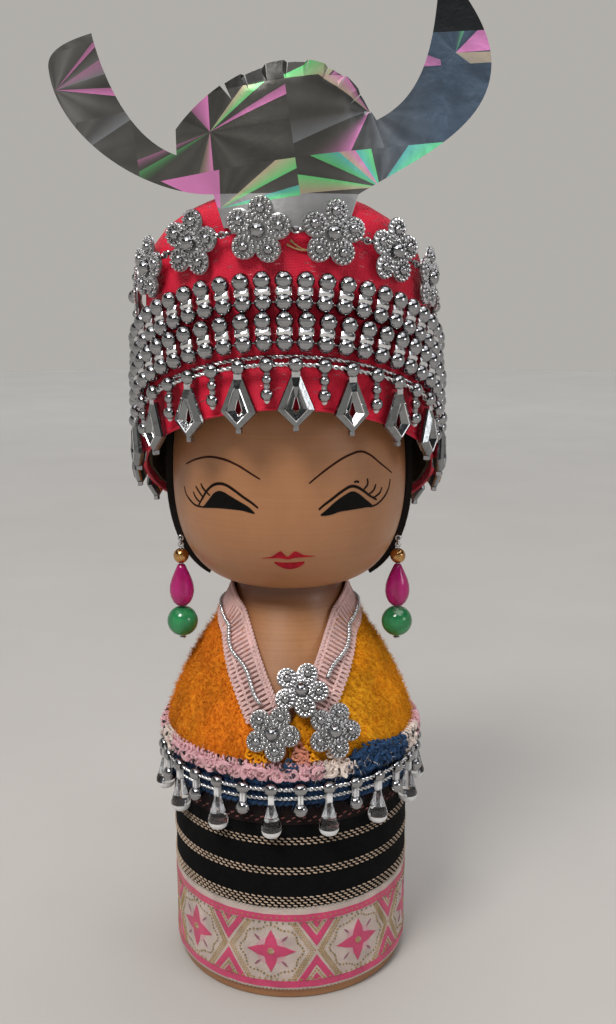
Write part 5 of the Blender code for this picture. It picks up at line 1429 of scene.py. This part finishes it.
class DOLL_OT_collar(PieceOperator, bpy.types.Operator):
    """Looped braid along the neckline with a waved silver cord on it"""

    bl_idname = "doll.collar"
    bl_label = "Collar"

    def make(self):
        pitch = 1.55 * MM
        path = even_steps(collar_path(90), pitch)
        high = TRIM_SEAT + COLLAR_THICKNESS
        centres = [Vector(place) * MM for place, _, _ in CHEST_FLOWERS.values()]
        for name, side in (("left", -1), ("right", 1)):

            def spot(line, i, reach, lift):
                angle, height = line[i]
                turn, climb = collar_across(line, i)
                return on_dress(height + reach * climb, side * (angle + reach * turn), lift)

            stations = range(len(path))
            outs = [(spot(path, i, 0.0, high + MM) - spot(path, i, 0.0, high)).normalized() for i in stations]
            reaches = between(-0.47 * COLLAR_WIDTH, 0.42 * COLLAR_WIDTH, 7)
            nets = []
            for lift in (high - 0.9 * MM, TRIM_SEAT):
                nets.append([[spot(path, i, reach, lift) for reach in reaches][::-side] for i in stations])
            parts = [(Shape().shell(*nets).mesh(), 1)]
            for reach, radius in ((-0.46, 0.62), (-0.33, 0.5), (0.26, 0.5)):
                line = [spot(path, i, reach * COLLAR_WIDTH, high - 0.35 * MM) for i in stations]
                strands = (radius * 0.55 * MM, radius * 0.62 * MM, 0.6 * len(path))
                parts.append((laid(line, outs, "peach_braid", *strands), 0))
            loops = Shape()
            for i in stations[:-1]:
                along = (spot(path, i + 1, 0.0, high) - spot(path, i, 0.0, high)).normalized()
                oval = []
                for a in full_turn(14):
                    reach = (0.03 + 0.49 * math.copysign(abs(cos(a)) ** 0.6, cos(a))) * COLLAR_WIDTH
                    lift = high - 0.3 * MM - 0.35 * MM * cos(a) ** 2
                    oval.append(spot(path, i, reach, lift) + along * 0.48 * pitch * sin(a))
                loops.tube(oval, 0.4 * MM, 5, True)
            parts.append((loops.mesh(), 0))
            finishes, node = ["peach_braid", "collar_shade"], f"collar_trim_{name}"
            put(f"collar_braid_{name}", joined(*parts), finishes, "torso", [node])
            fine = collar_path(60)[:90]
            cord = []
            for i in range(len(fine)):
                rise = min(1.0, i / 59)
                wave = 0.6 * COLLAR_CORD_WAVE * sin(1.1 * pi * COLLAR_CORD_WAVES * rise)
                reach = (0.4 * rise - 0.16) * COLLAR_WIDTH + wave
                cord.append(spot(fine, i, reach, high + 2 * CLEARANCE + COLLAR_CORD_RADIUS))
            free = FLOWER_RADIUS + COLLAR_CORD_RADIUS + CLEARANCE
            cord = [point for point in cord if all((point - centre).length > free for centre in centres)]
            out = [Vector((point.x, point.y, 14 * MM)).normalized() for point in cord]
            run = sum((a - b).length for a, b in zip(cord, cord[1:]))
            twist = laid(cord, out, "silver_thread", 0.42 * MM, 1.15 * size("cord"), run / (2.2 * MM))
            put(f"collar_twist_{name}", twist, "silver_thread", "torso", [f"collar_cord_{name}"])


FLOWER_FINISHES = ["silver_trim", "silver_dark", "steel_wire"]


def flower_mesh(frames, scale, *others):
    """Flower trims at given matrices: plates in a silver painted darker for shade, balls and granules set on
    them, and other parts.
    """
    frames = [place @ Matrix.Rotation(radians(-7.0), 4, "Z") @ Matrix.Scale(scale, 4) for place in frames]
    plate = Shape()
    turns = full_turn(60)
    rim = [(5.1 * MM + 3.0 * MM * abs(cos(2.5 * a)) ** 0.8, a) for a in turns]
    for place in frames:
        rows = []
        for share, height in ((0.9, 0.0), (1.0, 0.25), (1.0, 0.6), (0.88, 0.85)):
            rows.append([place @ Vector((r * share * cos(a), r * share * sin(a), height * MM)) for r, a in rim])
        net = plate.grid(rows, True)
        top, foot = plate.add([place @ Vector((0, 0, 0.9 * MM)), place.translation])
        for i in range(len(turns)):
            j = (i + 1) % len(turns)
            plate.face((net[-1][i], net[-1][j], top))
            plate.face((net[0][j], net[0][i], foot))
    balls, grains = [], []
    for place in frames:
        turn = tuple(place.to_euler())
        balls.append((place @ Vector((0, 0, 1.6 * MM)), turn, (2.15,) * 3))
        for a in full_turn(PETALS):
            petal = Vector((5.15 * cos(a), 5.15 * sin(a), 0.0)) * MM
            balls.append((place @ (petal + Vector((0, 0, 1.05 * MM))), turn, (1.4,) * 3))
            for count, reach, share in ((13, 2.42, 1.0), (10, 1.75, 0.55)):
                for b in full_turn(count):
                    spot = petal + Vector((reach * cos(b), reach * sin(b), 1.05)) * MM
                    grains.append((place @ spot, turn, (share * size("granule") / MM,) * 3))
        for b in full_turn(16):
            grains.append((place @ (Vector((2.55 * cos(b), 2.55 * sin(b), 1.1)) * MM), turn, (0.42,) * 3))
    large, small = (Shape().ball(Vector(), MM, steps).mesh() for steps in (18, 8))
    return joined((plate.mesh(), 1), (placed(large, "silver_trim", balls), 0),
                  (placed(small, "steel_wire", grains), 2), *others)


class DOLL_OT_flower_trims(PieceOperator, bpy.types.Operator):
    """Granulated flowers on the chest and round the hat's crown"""

    bl_idname = "doll.flower_trims"
    bl_label = "Flower trims"

    def make(self):
        for name, place in CHEST_FLOWERS.items():
            mesh = flower_mesh([facing(*place)], 1.07)
            put(name + "_trim", mesh, FLOWER_FINISHES, "torso", [name])
        ring = (CHAIN_RADIUS, *hat_ring(CHAIN_LEVEL)[1:])
        step = 2 * pi / CHAIN_COUNT
        upright = Matrix.Rotation(pi / 2, 4, "X") @ Matrix.Rotation(pi / 2, 4, "Z")
        frames = []
        for i in range(CHAIN_COUNT):
            angle = CHAIN_PHASE + step * i
            turned = Matrix.Rotation(angle, 4, "Z") @ upright
            frames.append(Matrix.Translation(hat_point(ring, angle)) @ turned)
        link = Shape()
        for shift in (-1.5, 0.0, 1.5):
            turn = Matrix.Rotation(1.2 if shift else 0.3, 3, "X")
            loop = [Vector((shift + 1.1 * cos(a), 0.0, 0.8 * sin(a))) * MM for a in full_turn(12)]
            link.tube([turn @ point for point in loop], 0.28 * MM, 6, True)
        out, inner = ((CHAIN_RADIUS + off * MM, *ring[1:]) for off in (0.9, 0.6))
        path = [hat_point(inner, CHAIN_PHASE + step * i / 4) for i in range(4 * CHAIN_COUNT)]
        links = ringed(link.mesh(), "silver_trim", CHAIN_COUNT, phase=CHAIN_PHASE + step / 2, ring=out)
        wire = Shape().tube(path, 0.4 * MM, 6, True).mesh()
        mesh = flower_mesh(frames, 1.15, (links, 0), (wire, 0))
        put("flower_chain_trim", mesh, FLOWER_FINISHES, "head", ["flower_chain"])


class DOLL_OT_bead_bands(PieceOperator, bpy.types.Operator):
    """Two rows of double-ball plates round the hat"""

    bl_idname = "doll.bead_bands"
    bl_label = "Bead bands"

    def make(self):
        for name, (level, seat) in BANDS.items():
            ring = (seat + 2.0 * MM, *hat_ring(level)[1:])
            balls = Shape()
            for up in (-BALL_OFFSET, BALL_OFFSET):
                balls.ball(Vector((0, 0, up)), 2.6 * MM, 18)
            bow = [Vector((2.2 * sin(a), -0.55 - 0.8 * cos(a), 0.0)) for a in between(-1.45, 1.45, 9)]
            bow += [Vector((2.0, 0.7, 0.0)), Vector((-2.0, 0.7, 0.0))]
            slopes = ((0.88, -1.35, 0.3), (1.0, -1.0, 0.1), (1.0, 0.0, -0.25), (0.98, 1.0, 0.2),
                      (0.86, 1.4, 0.5))
            rows = [[(p * share + Vector((0, back, z))) * MM for p in bow] for share, z, back in slopes]
            plate = Shape().bar(rows)
            lower = (ring[0], ring[1] - BALL_OFFSET, ring[2])
            wire = Shape().tube([hat_point(lower, a) for a in full_turn(2 * BAND_COUNT)], 0.3 * MM, 6, True)
            # the plates take the silver painted brighter, a painted highlight
            parts = [(ringed(balls.mesh(), "silver_trim", BAND_COUNT, ring=ring), 0),
                     (ringed(plate.mesh(25.0), "silver_plate", BAND_COUNT, ring=ring), 1), (wire.mesh(), 0)]
            put(name + "_trim", joined(*parts), ["silver_trim", "silver_plate"], "head", [name])


def cord_bead(radius, slant=0.0):
    """Bored bead on a cord along X."""
    hole, half = 1.1 * MM, 1.9 * MM
    loop = [(hole, -half), (0.72 * radius, -0.85 * half), (0.94 * radius, -0.45 * half), (radius, 0.0)]
    loop += [(r, -h) for r, h in loop[-2::-1]]
    turned = Matrix.Rotation(slant, 4, "Y") @ Matrix.Rotation(pi / 2, 4, "Y")
    return Shape().turned(loop, 16, turned, closed=True).mesh(60.0)


def squared(half, high, low, deep=None):
    """Square bar along Z with bevelled ends, from half its width and its ends in millimetres."""
    half_x, half_y = half * MM, (deep or half) * MM
    bevel, corners = 0.25, ((-1, -1), (1, -1), (1, 1), (-1, 1))
    foot, top = low * MM, high * MM
    levels = ((1 - bevel, foot), (1.0, foot + bevel * half_x), (1.0, top - bevel * half_x), (1 - bevel, top))
    rims = [[Vector((x * half_x * share, y * half_y * share, z)) for x, y in corners] for share, z in levels]
    return Shape().bar(rims).mesh(20.0)


def kite_parts():
    """Faceted open kite below a cord: its frame, whose silver is painted darker for shade, its neck and ridges,
    whose silver is painted brighter for highlights, and its pale tip.
    """
    half, top, waist, bottom, depth = metres(5.4, -2.6, -12.4, -17.7, 1.9)
    middle = waist + 0.7 * MM
    corners = ((-1.3 * MM, top), (1.3 * MM, top), (half, waist), (0, bottom), (-half, waist))
    shape, ridge = Shape(), Shape()
    loops = [(1.0, 1.0, -0.15 * depth), (0.95, 0.96, -0.45 * depth), (0.58, 0.64, -depth),
             (0.2, 0.31, -0.25 * depth), (0.19, 0.3, 0.0)]
    loops += [(wide, tall, -out) for wide, tall, out in loops[::-1]]
    rims = [[Vector((x * wide, y, middle + (z - middle) * tall)) for x, z in corners] for wide, tall, y in loops]
    shape.grid([*rims, rims[0]], True)
    for k, reach in ((2, 0.2), (3, 0.14), (7, 0.2)):
        ridge.tube(rims[k], reach * MM, 4, True)
    return shape.mesh(12.0), joined(squared(1.15, -1.5, -4.4, 1.0), ridge.mesh()), squared(0.75, -16.9, -18.4)


TEAR_OUTLINE = (
    (0.0, 4.2), (0.85, 4.3), (1.35, 6.2), (2.1, 9.0), (2.85, 11.4), (3.15, 12.8),
    (2.75, 14.6), (1.5, 15.6), (0.0, 15.9))
TEAR_FOOT = -13.1 * MM


def beaded(*beads):
    """Balls below a cord, given as depths and radii in millimetres, on a straight stem."""
    shape = Shape()
    for depth, radius in beads:
        shape.ball(Vector((0, 0, -depth * MM)), radius * MM, 16)
    return shape.tube([Vector((0, 0, -1.5 * MM)), Vector((0, 0, -beads[-1][0] * MM))], 0.85 * MM, 8).mesh(60.0)


def drop_parts():
    """Ball drop of the hat."""
    return beaded((4.0, 1.55), (8.1, 1.95)), beaded((10.0, 0.7))


def tear_parts():
    """Teardrop of the waist: white neck, clear drop, and a white foot that paints the floor's bright glow seen
    through the drop.
    """
    outline = [(max(p.x, 0.0) * MM, -p.y * MM) for p in smooth_line(TEAR_OUTLINE, 5)][::-1]
    wide = next(r for r, z in outline if z >= TEAR_FOOT)
    above, below = [p for p in outline if p[1] > TEAR_FOOT], [p for p in outline if p[1] < TEAR_FOOT]
    under = TEAR_FOOT - 0.02 * MM
    drop = Shape().turned([(0.0, TEAR_FOOT), (wide, TEAR_FOOT), *above], 24)
    foot = Shape().turned([*below, (wide, under), (0.0, under)], 24)
    return squared(0.85, -1.3, -4.9), drop.mesh(), foot.mesh()


def ball_parts():
    """Ball drop of the waist: white neck and silver ball."""
    return squared(0.8, -1.3, -5.0), beaded((6.7, 2.35))


class DOLL_OT_pendants(PieceOperator, bpy.types.Operator):
    """Pendants of the hat and of the waist, and the twisted cords that carry them"""

    bl_idname = "doll.pendants"
    bl_label = "Pendants"

    def make(self):
        hat = (FRINGE_RADIUS, *hat_ring(FRINGE_LEVEL)[1:])
        hat_inner = (FRINGE_INNER_RADIUS, hat[1] + FRINGE_INNER_RISE, hat[2])
        waist = (WAIST_CORD_RADIUS, WAIST_CORD_HEIGHT, 0.0)
        waist_inner = (WAIST_INNER_RADIUS, WAIST_CORD_HEIGHT - WAIST_INNER_DROP, 0.0)
        hat_half, waist_half = pi / HAT_PAIRS, pi / WAIST_PAIRS
        on_ring = lambda ring, angle: hat_point(ring, angle) if ring[2] else around(ring[0], angle, ring[1])
        silver = ("silver_trim", "silver_plate", "frost_white", "clear_acrylic", "kite_steel")
        rows = (
            ("hat_kite", kite_parts, (4, 1, 0), "head", hat, HAT_PAIRS, HAT_PHASE, -3, 7, 2.3, "silver_trim"),
            ("hat_drop", drop_parts, (0, 2), "head", hat, HAT_PAIRS, HAT_PHASE - hat_half, -2, 6, 2.3,
             "silver_trim"),
            ("waist_teardrop", tear_parts, (2, 3, 2), "torso", waist, WAIST_PAIRS, WAIST_PHASE, -2, 5, 2.0,
             "clear_acrylic"),
            ("waist_ball_drop", ball_parts, (2, 0), "torso", waist, WAIST_PAIRS, WAIST_PHASE + waist_half,
             -2, 5, 2.0, "silver_trim"),
        )
        fixed = {"head": [], "torso": []}
        for name, make_parts, finishes, body, ring, count, phase, low, loose, bead, slot in rows:
            step = 2 * pi / count
            for number in range(1, loose + 1):
                angle = phase + (low + number - 1) * step
                slant = math.atan2(ring[2] * sin(angle), ring[0])
                mesh = joined((cord_bead(bead * MM, slant), 0), *zip(make_parts(), finishes))
                mesh.transform(Matrix.Translation(on_ring(ring, angle)) @ Matrix.Rotation(angle, 4, "Z"))
                node = f"{name}_{number}"
                put(node + "_trim", mesh, silver, node, [node])
            start, rest = phase + (low + loose) * step, count - loose
            fixed[body].append((ringed(cord_bead(bead * MM), "silver_trim", rest, step, start, ring), 0))
            for part, number in zip(make_parts(), finishes):
                fixed[body].append((ringed(part, silver[number], rest, step, start, ring, 1.0), number))
        for body, node, rings, count in (
            ("head", "hat_fringe_cord", (hat, hat_inner), 4 * HAT_PAIRS),
            ("torso", "waist_fringe_cord", (waist, waist_inner), 4 * WAIST_PAIRS),
        ):
            turns = full_turn(count)
            out = [around(1.0, a, 0.0) for a in turns]
            for ring in rings:
                path = [on_ring(ring, a) for a in turns]
                twist = laid(path, out, "silver_thread", 0.4 * MM, size("cord"), 84.0, True, 0.6 * MM)
                fixed[body].append((twist, 5))
            put(node + "_trim", joined(*fixed[body]), (*silver, "silver_thread"), body, [node])


class DOLL_OT_satin_hat(PieceOperator, bpy.types.Operator):
    """Satin cover of the hat with its gathers and glue traces, and the felt hair under it"""

    bl_idname = "doll.satin_hat"
    bl_label = "Satin hat and hair"

    def make(self):
        nets = []
        for inset in (0.0, COVER_THICKNESS):
            rings = [hat_ring(level, -inset) for level in between(-HAT_DEPTH, HAT_CROWN_START, 24)]
            for turn in between(0.0, radians(87.0), 18)[1:]:
                radius = (HAT_CROWN_RADIUS - inset) * cos(turn) ** HAT_DOME_CURVE
                climb = (HAT_DOME - inset) * sin(turn) ** HAT_DOME_CURVE
                rise = HAT_CROWN_TILT / HAT_CROWN_RADIUS * radius
                rings.append((radius, HAT_SEAT + HAT_CROWN_START + climb, rise))
            net = []
            for row, (radius, *rest) in enumerate(rings):
                gather = 0.0 if inset else 0.22 * MM * min(1.0, radius / (20 * MM))
                pucker = lambda a: gather * (sin(9 * a + row * 0.35) * sin(17 * a - row * 0.21) - 0.75)
                net.append([hat_point((radius + pucker(a), *rest), a) for a in full_turn(128)])
            nets.append(net)
        cover = Shape()
        uv = lambda r, c: (c * 2.2 * MM, r * 2.2 * MM)
        outer, inner = cover.grid(nets[0], True, uv), cover.grid(nets[1], True, uv, flip=True)
        for i in range(len(outer[0])):
            j = (i + 1) % len(outer[0])
            cover.face((outer[0][j], outer[0][i], inner[0][i], inner[0][j]))
        cover.face(outer[-1])
        cover.face(inner[-1][::-1])
        mesh = cover.mesh()
        hat = put("satin_hat", mesh, "hat_satin", "head", ["hat_cover"])
        rim = hat_ring(-HAT_DEPTH + 0.3 * MM, -0.15 * MM)
        hem = Shape().tube([hat_point(rim, a) for a in full_turn(96)], 0.5 * MM, 8, True)
        glue = Shape()
        for low, high, level, sag in ((1.0, 9.0, -11.2, 1.6), (2.0, 10.5, -10.0, 2.6), (3.5, 7.5, -12.4, 0.5)):
            strand = []
            for share in between(0.0, 1.0, 9):
                ring = hat_ring(level * MM - sag * MM * sin(pi * share), 0.25 * MM)
                strand.append(hat_point(ring, (low + (high - low) * share) * MM / HAT_CROWN_RADIUS))
            glue.tube(strand, lambda t: 0.3 * MM * (1.1 - sin(pi * t) * 0.6), 5)
        mesh = joined((hem.mesh(), 0), (glue.mesh(), 1))
        put("hat_hem_roll", mesh, ["hat_satin", "glue_trace"], "head")
        heights = [height for radius, height in HEAD_PROFILE if height >= HAIR_FOOT and radius > 0.4 * MM]
        angles = between(HAIR_FRONT, 2 * pi - HAIR_FRONT, 72)
        nets = []
        for lift in (CLEARANCE + HAIR_THICKNESS, CLEARANCE):
            spots = [on_profile(HEAD_PROFILE, height, lift) for height in heights]
            nets.append([[around(p.x, a, HEAD_FOOT + p.y) for a in angles] for p in spots])
        mesh = Shape().shell(*nets, uv=lambda r, c: (c * 2 * MM, r * 2 * MM)).mesh()
        nap = fuzz(mesh, "hair_felt", 0.7e6, 0.6 * MM, 1.3, 21, 0.05)
        felt = put("felt_hair", mesh, "hair_felt", "head", ["hair_cap"])
        loose = put("felt_hair_nap", nap, "hair_felt", "head")


def crest_outline():
    """Closed outline of the flat crest card, slit along its arch, and fine points of the arch."""
    left, right = ([bezier(stretch, HORN_STEPS) for stretch in horn] for horn in (LEFT_HORN, RIGHT_HORN))
    outline = [point for stretch in left for point in stretch[:-1]] + left[-1][-1:]
    arch = [Vector(point) for point in bezier(CREST_ARCH, ARCH_STEPS * CREST_RIM_TABS + 1)]
    middle = Vector((arch[len(arch) // 2].x, 0.0))
    outline += [tuple(point) for point in arch[: ARCH_STEPS * CREST_RIM_PLAIN - 2 : 8]]
    shares = between(CREST_RIM_SLIT, 1 - CREST_RIM_SLIT, 7)
    for tab in range(CREST_RIM_PLAIN, CREST_RIM_TABS):
        foot = arch[ARCH_STEPS * tab]
        outline.append(tuple(foot + (middle - foot).normalized() * CREST_RIM_CUT))
        outline += [tuple(arch[round(ARCH_STEPS * (tab + share))]) for share in shares]
    outline += [point for stretch in right for point in stretch[:-1]]
    outline.append((CREST_CREASE_HALF, 0.0))
    outline += [(x, -CREST_TAB) for x in between(CREST_TAB_HALF, -CREST_TAB_HALF, 14)]
    return outline, arch


class DOLL_OT_foil_crest(PieceOperator, bpy.types.Operator):
    """Horned crest cut from hologram card"""

    bl_idname = "doll.foil_crest"
    bl_label = "Foil crest"

    def make(self):
        outline, arch = crest_outline()
        border = [Vector(point) for point in outline]
        xs, ys = [p.x for p in border], [p.y for p in border]
        heights = between(-CREST_TAB + MM, max(ys), 40)
        inner = [Vector((x, y)) for x in between(min(xs), max(xs), 70) for y in heights]
        inner += [Vector((x, 0.0)) for x in between(-CREST_CREASE_HALF, CREST_CREASE_HALF, 30)[1:-1]]
        flat, _, faces, *_ = delaunay_2d_cdt(border + inner, [], [list(range(len(border)))], 1, TINY)
        lean = Vector((0, sin(CREST_LEAN), cos(CREST_LEAN)))
        sunk = Vector((0, CREST_TAB_RISE.y, CREST_TAB_RISE.z))
        coarse = arch[::4]

        def bent(point, side):
            x, y = point
            place = Vector((x, 0, 0)) + y * (lean if y > 0 else sunk)
            near = min(abs(x), CREST_CREASE_HALF)
            place.y += near * near / (2 * HAT_CROWN_RADIUS) + (abs(x) - near) * near / HAT_CROWN_RADIUS
            gap, nearest = min(((spot - point).length, i) for i, spot in enumerate(coarse))
            tab = min(nearest * 4 // ARCH_STEPS, CREST_RIM_TABS - 1)
            if gap < CREST_RIM_CUT and tab >= CREST_RIM_PLAIN and 0 < nearest < len(coarse) - 1:
                fold = CREST_RIM_FOLDS[tab % 2]
                place.y += (CREST_RIM_CUT - gap) * sin(fold)
                place.z -= (CREST_RIM_CUT - gap) * (1 - cos(fold))
            return CREST_CREASE + place + Vector((0, side * CREST_THICKNESS / 2, 0))

        shape = Shape()
        fronts, backs = (shape.add([bent(point, side) for point in flat]) for side in (-1, 1))
        for face in faces:
            uvs = [tuple(flat[i]) for i in face]
            shape.face([fronts[i] for i in face], uvs, 0)
            shape.face([backs[i] for i in face][::-1], uvs[::-1], 0)
        for i, j in rim_of(faces):
            shape.face((fronts[j], fronts[i], backs[i], backs[j]), None, 1)
        mesh = shape.mesh(30.0)
        bm = bmesh.new()
        bm.from_mesh(mesh)
        bmesh.ops.delete(bm, geom=[v for v in bm.verts if not v.link_faces], context="VERTS")
        bm.to_mesh(mesh)
        bm.free()
        put("foil_crest", mesh, ["hologram_foil", "cut_edge"], "head", ["crest_plate"])


class DOLL_OT_earrings(PieceOperator, bpy.types.Operator):
    """Wire eyes, jump rings and the beaded pins of the two earrings"""

    bl_idname = "doll.earrings"
    bl_label = "Earrings"

    def make(self):
        eye_radius, ring_radius, wire, hole = metres(0.8, 1.1, 0.25, 0.7)
        eye_loop = lambda centre: [centre + Vector((cos(a), 0, sin(a))) * eye_radius for a in full_turn(28)]
        drop = ((0.45, -0.97), (0.72, -0.82), (0.93, -0.55), (1.0, -0.3), (0.96, 0.0), (0.82, 0.28), (0.6, 0.58),
                (0.42, 0.8), (0.3, 0.95))
        for name in ("left", "right"):
            low, high = (Vector(corner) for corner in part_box("ear_ring_" + name))
            ring = (low + high) / 2
            gap = 2 * wire + CLEARANCE
            eye = ring + Vector((0, 0, ring_radius + eye_radius - gap))
            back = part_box("ear_eye_" + name)[1][1]
            shape = Shape().tube(eye_loop(eye), wire, 8, True)
            shape.tube([eye + Vector((0, 0, eye_radius)), Vector((eye.x, back, eye.z + eye_radius))], wire, 8)
            put(f"ear_eye_{name}_wire", shape.mesh(), "steel_wire", "head", ["ear_eye_" + name])
            loop = [ring + Vector((0, cos(a), sin(a))) * ring_radius for a in full_turn(28)]
            mesh, link = Shape().tube(loop, wire, 8, True).mesh(), "ear_link_" + name
            put(f"ear_ring_{name}_wire", mesh, "steel_wire", link, ["ear_ring_" + name])
            (*_, foot), (*_, top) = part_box("ear_pin_" + name)
            eye = Vector((ring.x, ring.y, top - eye_radius - wire))
            stem = eye.z - eye_radius
            head = ((0.0, 0.0), (0.8, 0.0), (1.1, 0.2), (1.1, 0.5), (0.4, 0.6))
            pin = [(r * MM, foot + h * MM) for r, h in head] + [(0.4 * MM, stem), (0.0, stem)]
            shape = Shape().tube(eye_loop(eye), wire, 8, True)
            mesh = shape.turned(pin, 16, Matrix.Translation((ring.x, ring.y, 0))).mesh()
            pendant = "earring_" + name
            put(f"ear_pin_{name}_wire", mesh, "steel_wire", pendant, ["ear_pin_" + name])
            for bead, radius, finish in (
                ("gold_bead", 2.5 * MM, "gold_bead"), ("magenta_drop", 4.0 * MM, "magenta_acrylic"),
                ("green_bead", 5.0 * MM, "green_glass"),
            ):
                node = f"{bead}_{name}"
                low, high = (Vector(corner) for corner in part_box(node))
                middle, half = (low + high) / 2, (high.z - low.z) / 2
                if bead == "magenta_drop":
                    shares = ((hole / radius, -1.0), *drop, (hole / radius, 1.0))
                    outline = [(radius * r, half * h) for r, h in shares]
                else:
                    reach = math.acos(hole / radius)
                    outline = [(radius * cos(a), radius * sin(a)) for a in between(-reach, reach, 22)]
                place = Matrix.Translation((ring.x, ring.y, middle.z))
                mesh = Shape().turned(outline, 40, place, closed=True).mesh(60.0)
                put(node + "_body", mesh, finish, pendant, [node])


class DOLL_OT_stage(PieceOperator, bpy.types.Operator):
    """Plain floor, soft studio light and the camera at the photo's viewpoint"""

    bl_idname = "doll.stage"
    bl_label = "Stage"

    def make(self):
        scene = bpy.context.scene
        wide, deep = 2.5, -4.0 * MM
        mesh = Shape().turned([(0.0, deep), (wide, deep), (wide, 0.0), (0.0, 0.0)], 64).mesh()
        mesh.materials.append(finish_of("studio_floor"))
        ground = bpy.data.objects.new("studio_floor", mesh)
        scene.collection.objects.link(ground)
        world = bpy.data.worlds.new("studio")
        world.use_nodes = True
        g = Graph(world.node_tree)
        up = g.xyz(g.node("ShaderNodeTexCoord").outputs["Generated"])[2]
        low = g.mix(g.spread(up, 0.375, 0.43), colour(0.44, 0.425, 0.4), colour(0.035, 0.035, 0.037))
        sky = g.mix(g.spread(up, 0.7, 0.82), low, colour(1.3, 1.31, 1.35))
        back = next(node for node in world.node_tree.nodes if node.type == "BACKGROUND")
        g.feed(back.inputs["Color"], sky)
        back.inputs["Strength"].default_value = 1.0
        scene.world = world
        for name, place, wide, power, shade in (
            ("key", (-0.3, -0.58, 1.0), 0.36, 8.4, (1.0, 0.97, 0.93)),
            ("fill", (0.8, -0.5, 0.45), 0.3, 1.3, (0.95, 0.97, 1.0)),
            ("top", (0.1, 0.25, 0.95), 0.45, 1.7, (1.0, 1.0, 1.0)),
        ):
            light = bpy.data.lights.new(name, "AREA")
            light.energy, light.size, light.color = power, wide, shade
            lamp = bpy.data.objects.new(name, light)
            lamp.location = place
            lamp.rotation_euler = (Vector((0, 0, 0.16)) - Vector(place)).to_track_quat("-Z", "Y").to_euler()
            scene.collection.objects.link(lamp)
        camera = bpy.data.cameras.new("camera")
        camera.sensor_fit, camera.sensor_height, camera.lens = "VERTICAL", 36.0, 38.67
        camera.clip_start = 0.01
        holder = bpy.data.objects.new("camera", camera)
        holder.location = (0.006, -0.352, 0.2265)
        holder.rotation_euler = (radians(78.0), 0.0, 0.0)
        scene.collection.objects.link(holder)
        scene.camera = holder
        scene.view_settings.view_transform = "Standard"


OPERATORS = (
    DOLL_OT_turned_wood, DOLL_OT_painted_face, DOLL_OT_hem_ribbon, DOLL_OT_skirt_wrap, DOLL_OT_waist_trims,
    DOLL_OT_felt_jacket, DOLL_OT_collar, DOLL_OT_flower_trims, DOLL_OT_bead_bands, DOLL_OT_pendants,
    DOLL_OT_satin_hat, DOLL_OT_foil_crest, DOLL_OT_earrings, DOLL_OT_stage,
)


class DOLL_PT_pieces(bpy.types.Panel):
    """Lists the doll's pieces, sizes and colours"""

    bl_idname = "DOLL_PT_pieces"
    bl_label = "Festival doll"
    bl_space_type = "VIEW_3D"
    bl_region_type = "UI"
    bl_category = "Doll"

    def draw(self, context):
        for operator in OPERATORS:
            self.layout.operator(operator.bl_idname)
        for group in (context.scene.doll_sizes, context.scene.doll_colours):
            box = self.layout.box()
            for name in group.__annotations__:
                box.prop(group, name)


CLASSES = (DollColours, DollSizes, *OPERATORS, DOLL_PT_pieces)


def register():
    """Adds the doll's classes and settings to Blender."""
    for each in CLASSES:
        bpy.utils.register_class(each)
    bpy.types.Scene.doll_colours = bpy.props.PointerProperty(type=DollColours)
    bpy.types.Scene.doll_sizes = bpy.props.PointerProperty(type=DollSizes)


def unregister():
    """Takes them out again."""
    del bpy.types.Scene.doll_sizes
    del bpy.types.Scene.doll_colours
    for each in reversed(CLASSES):
        bpy.utils.unregister_class(each)


def main():
    """Dresses the frame, piece by piece."""
    register()
    for operator in OPERATORS:
        group, name = operator.bl_idname.split(".")
        if getattr(getattr(bpy.ops, group), name)() != {"FINISHED"}:
            raise RuntimeError(operator.bl_label + " was not made")


if __name__ == "__main__":
    main()
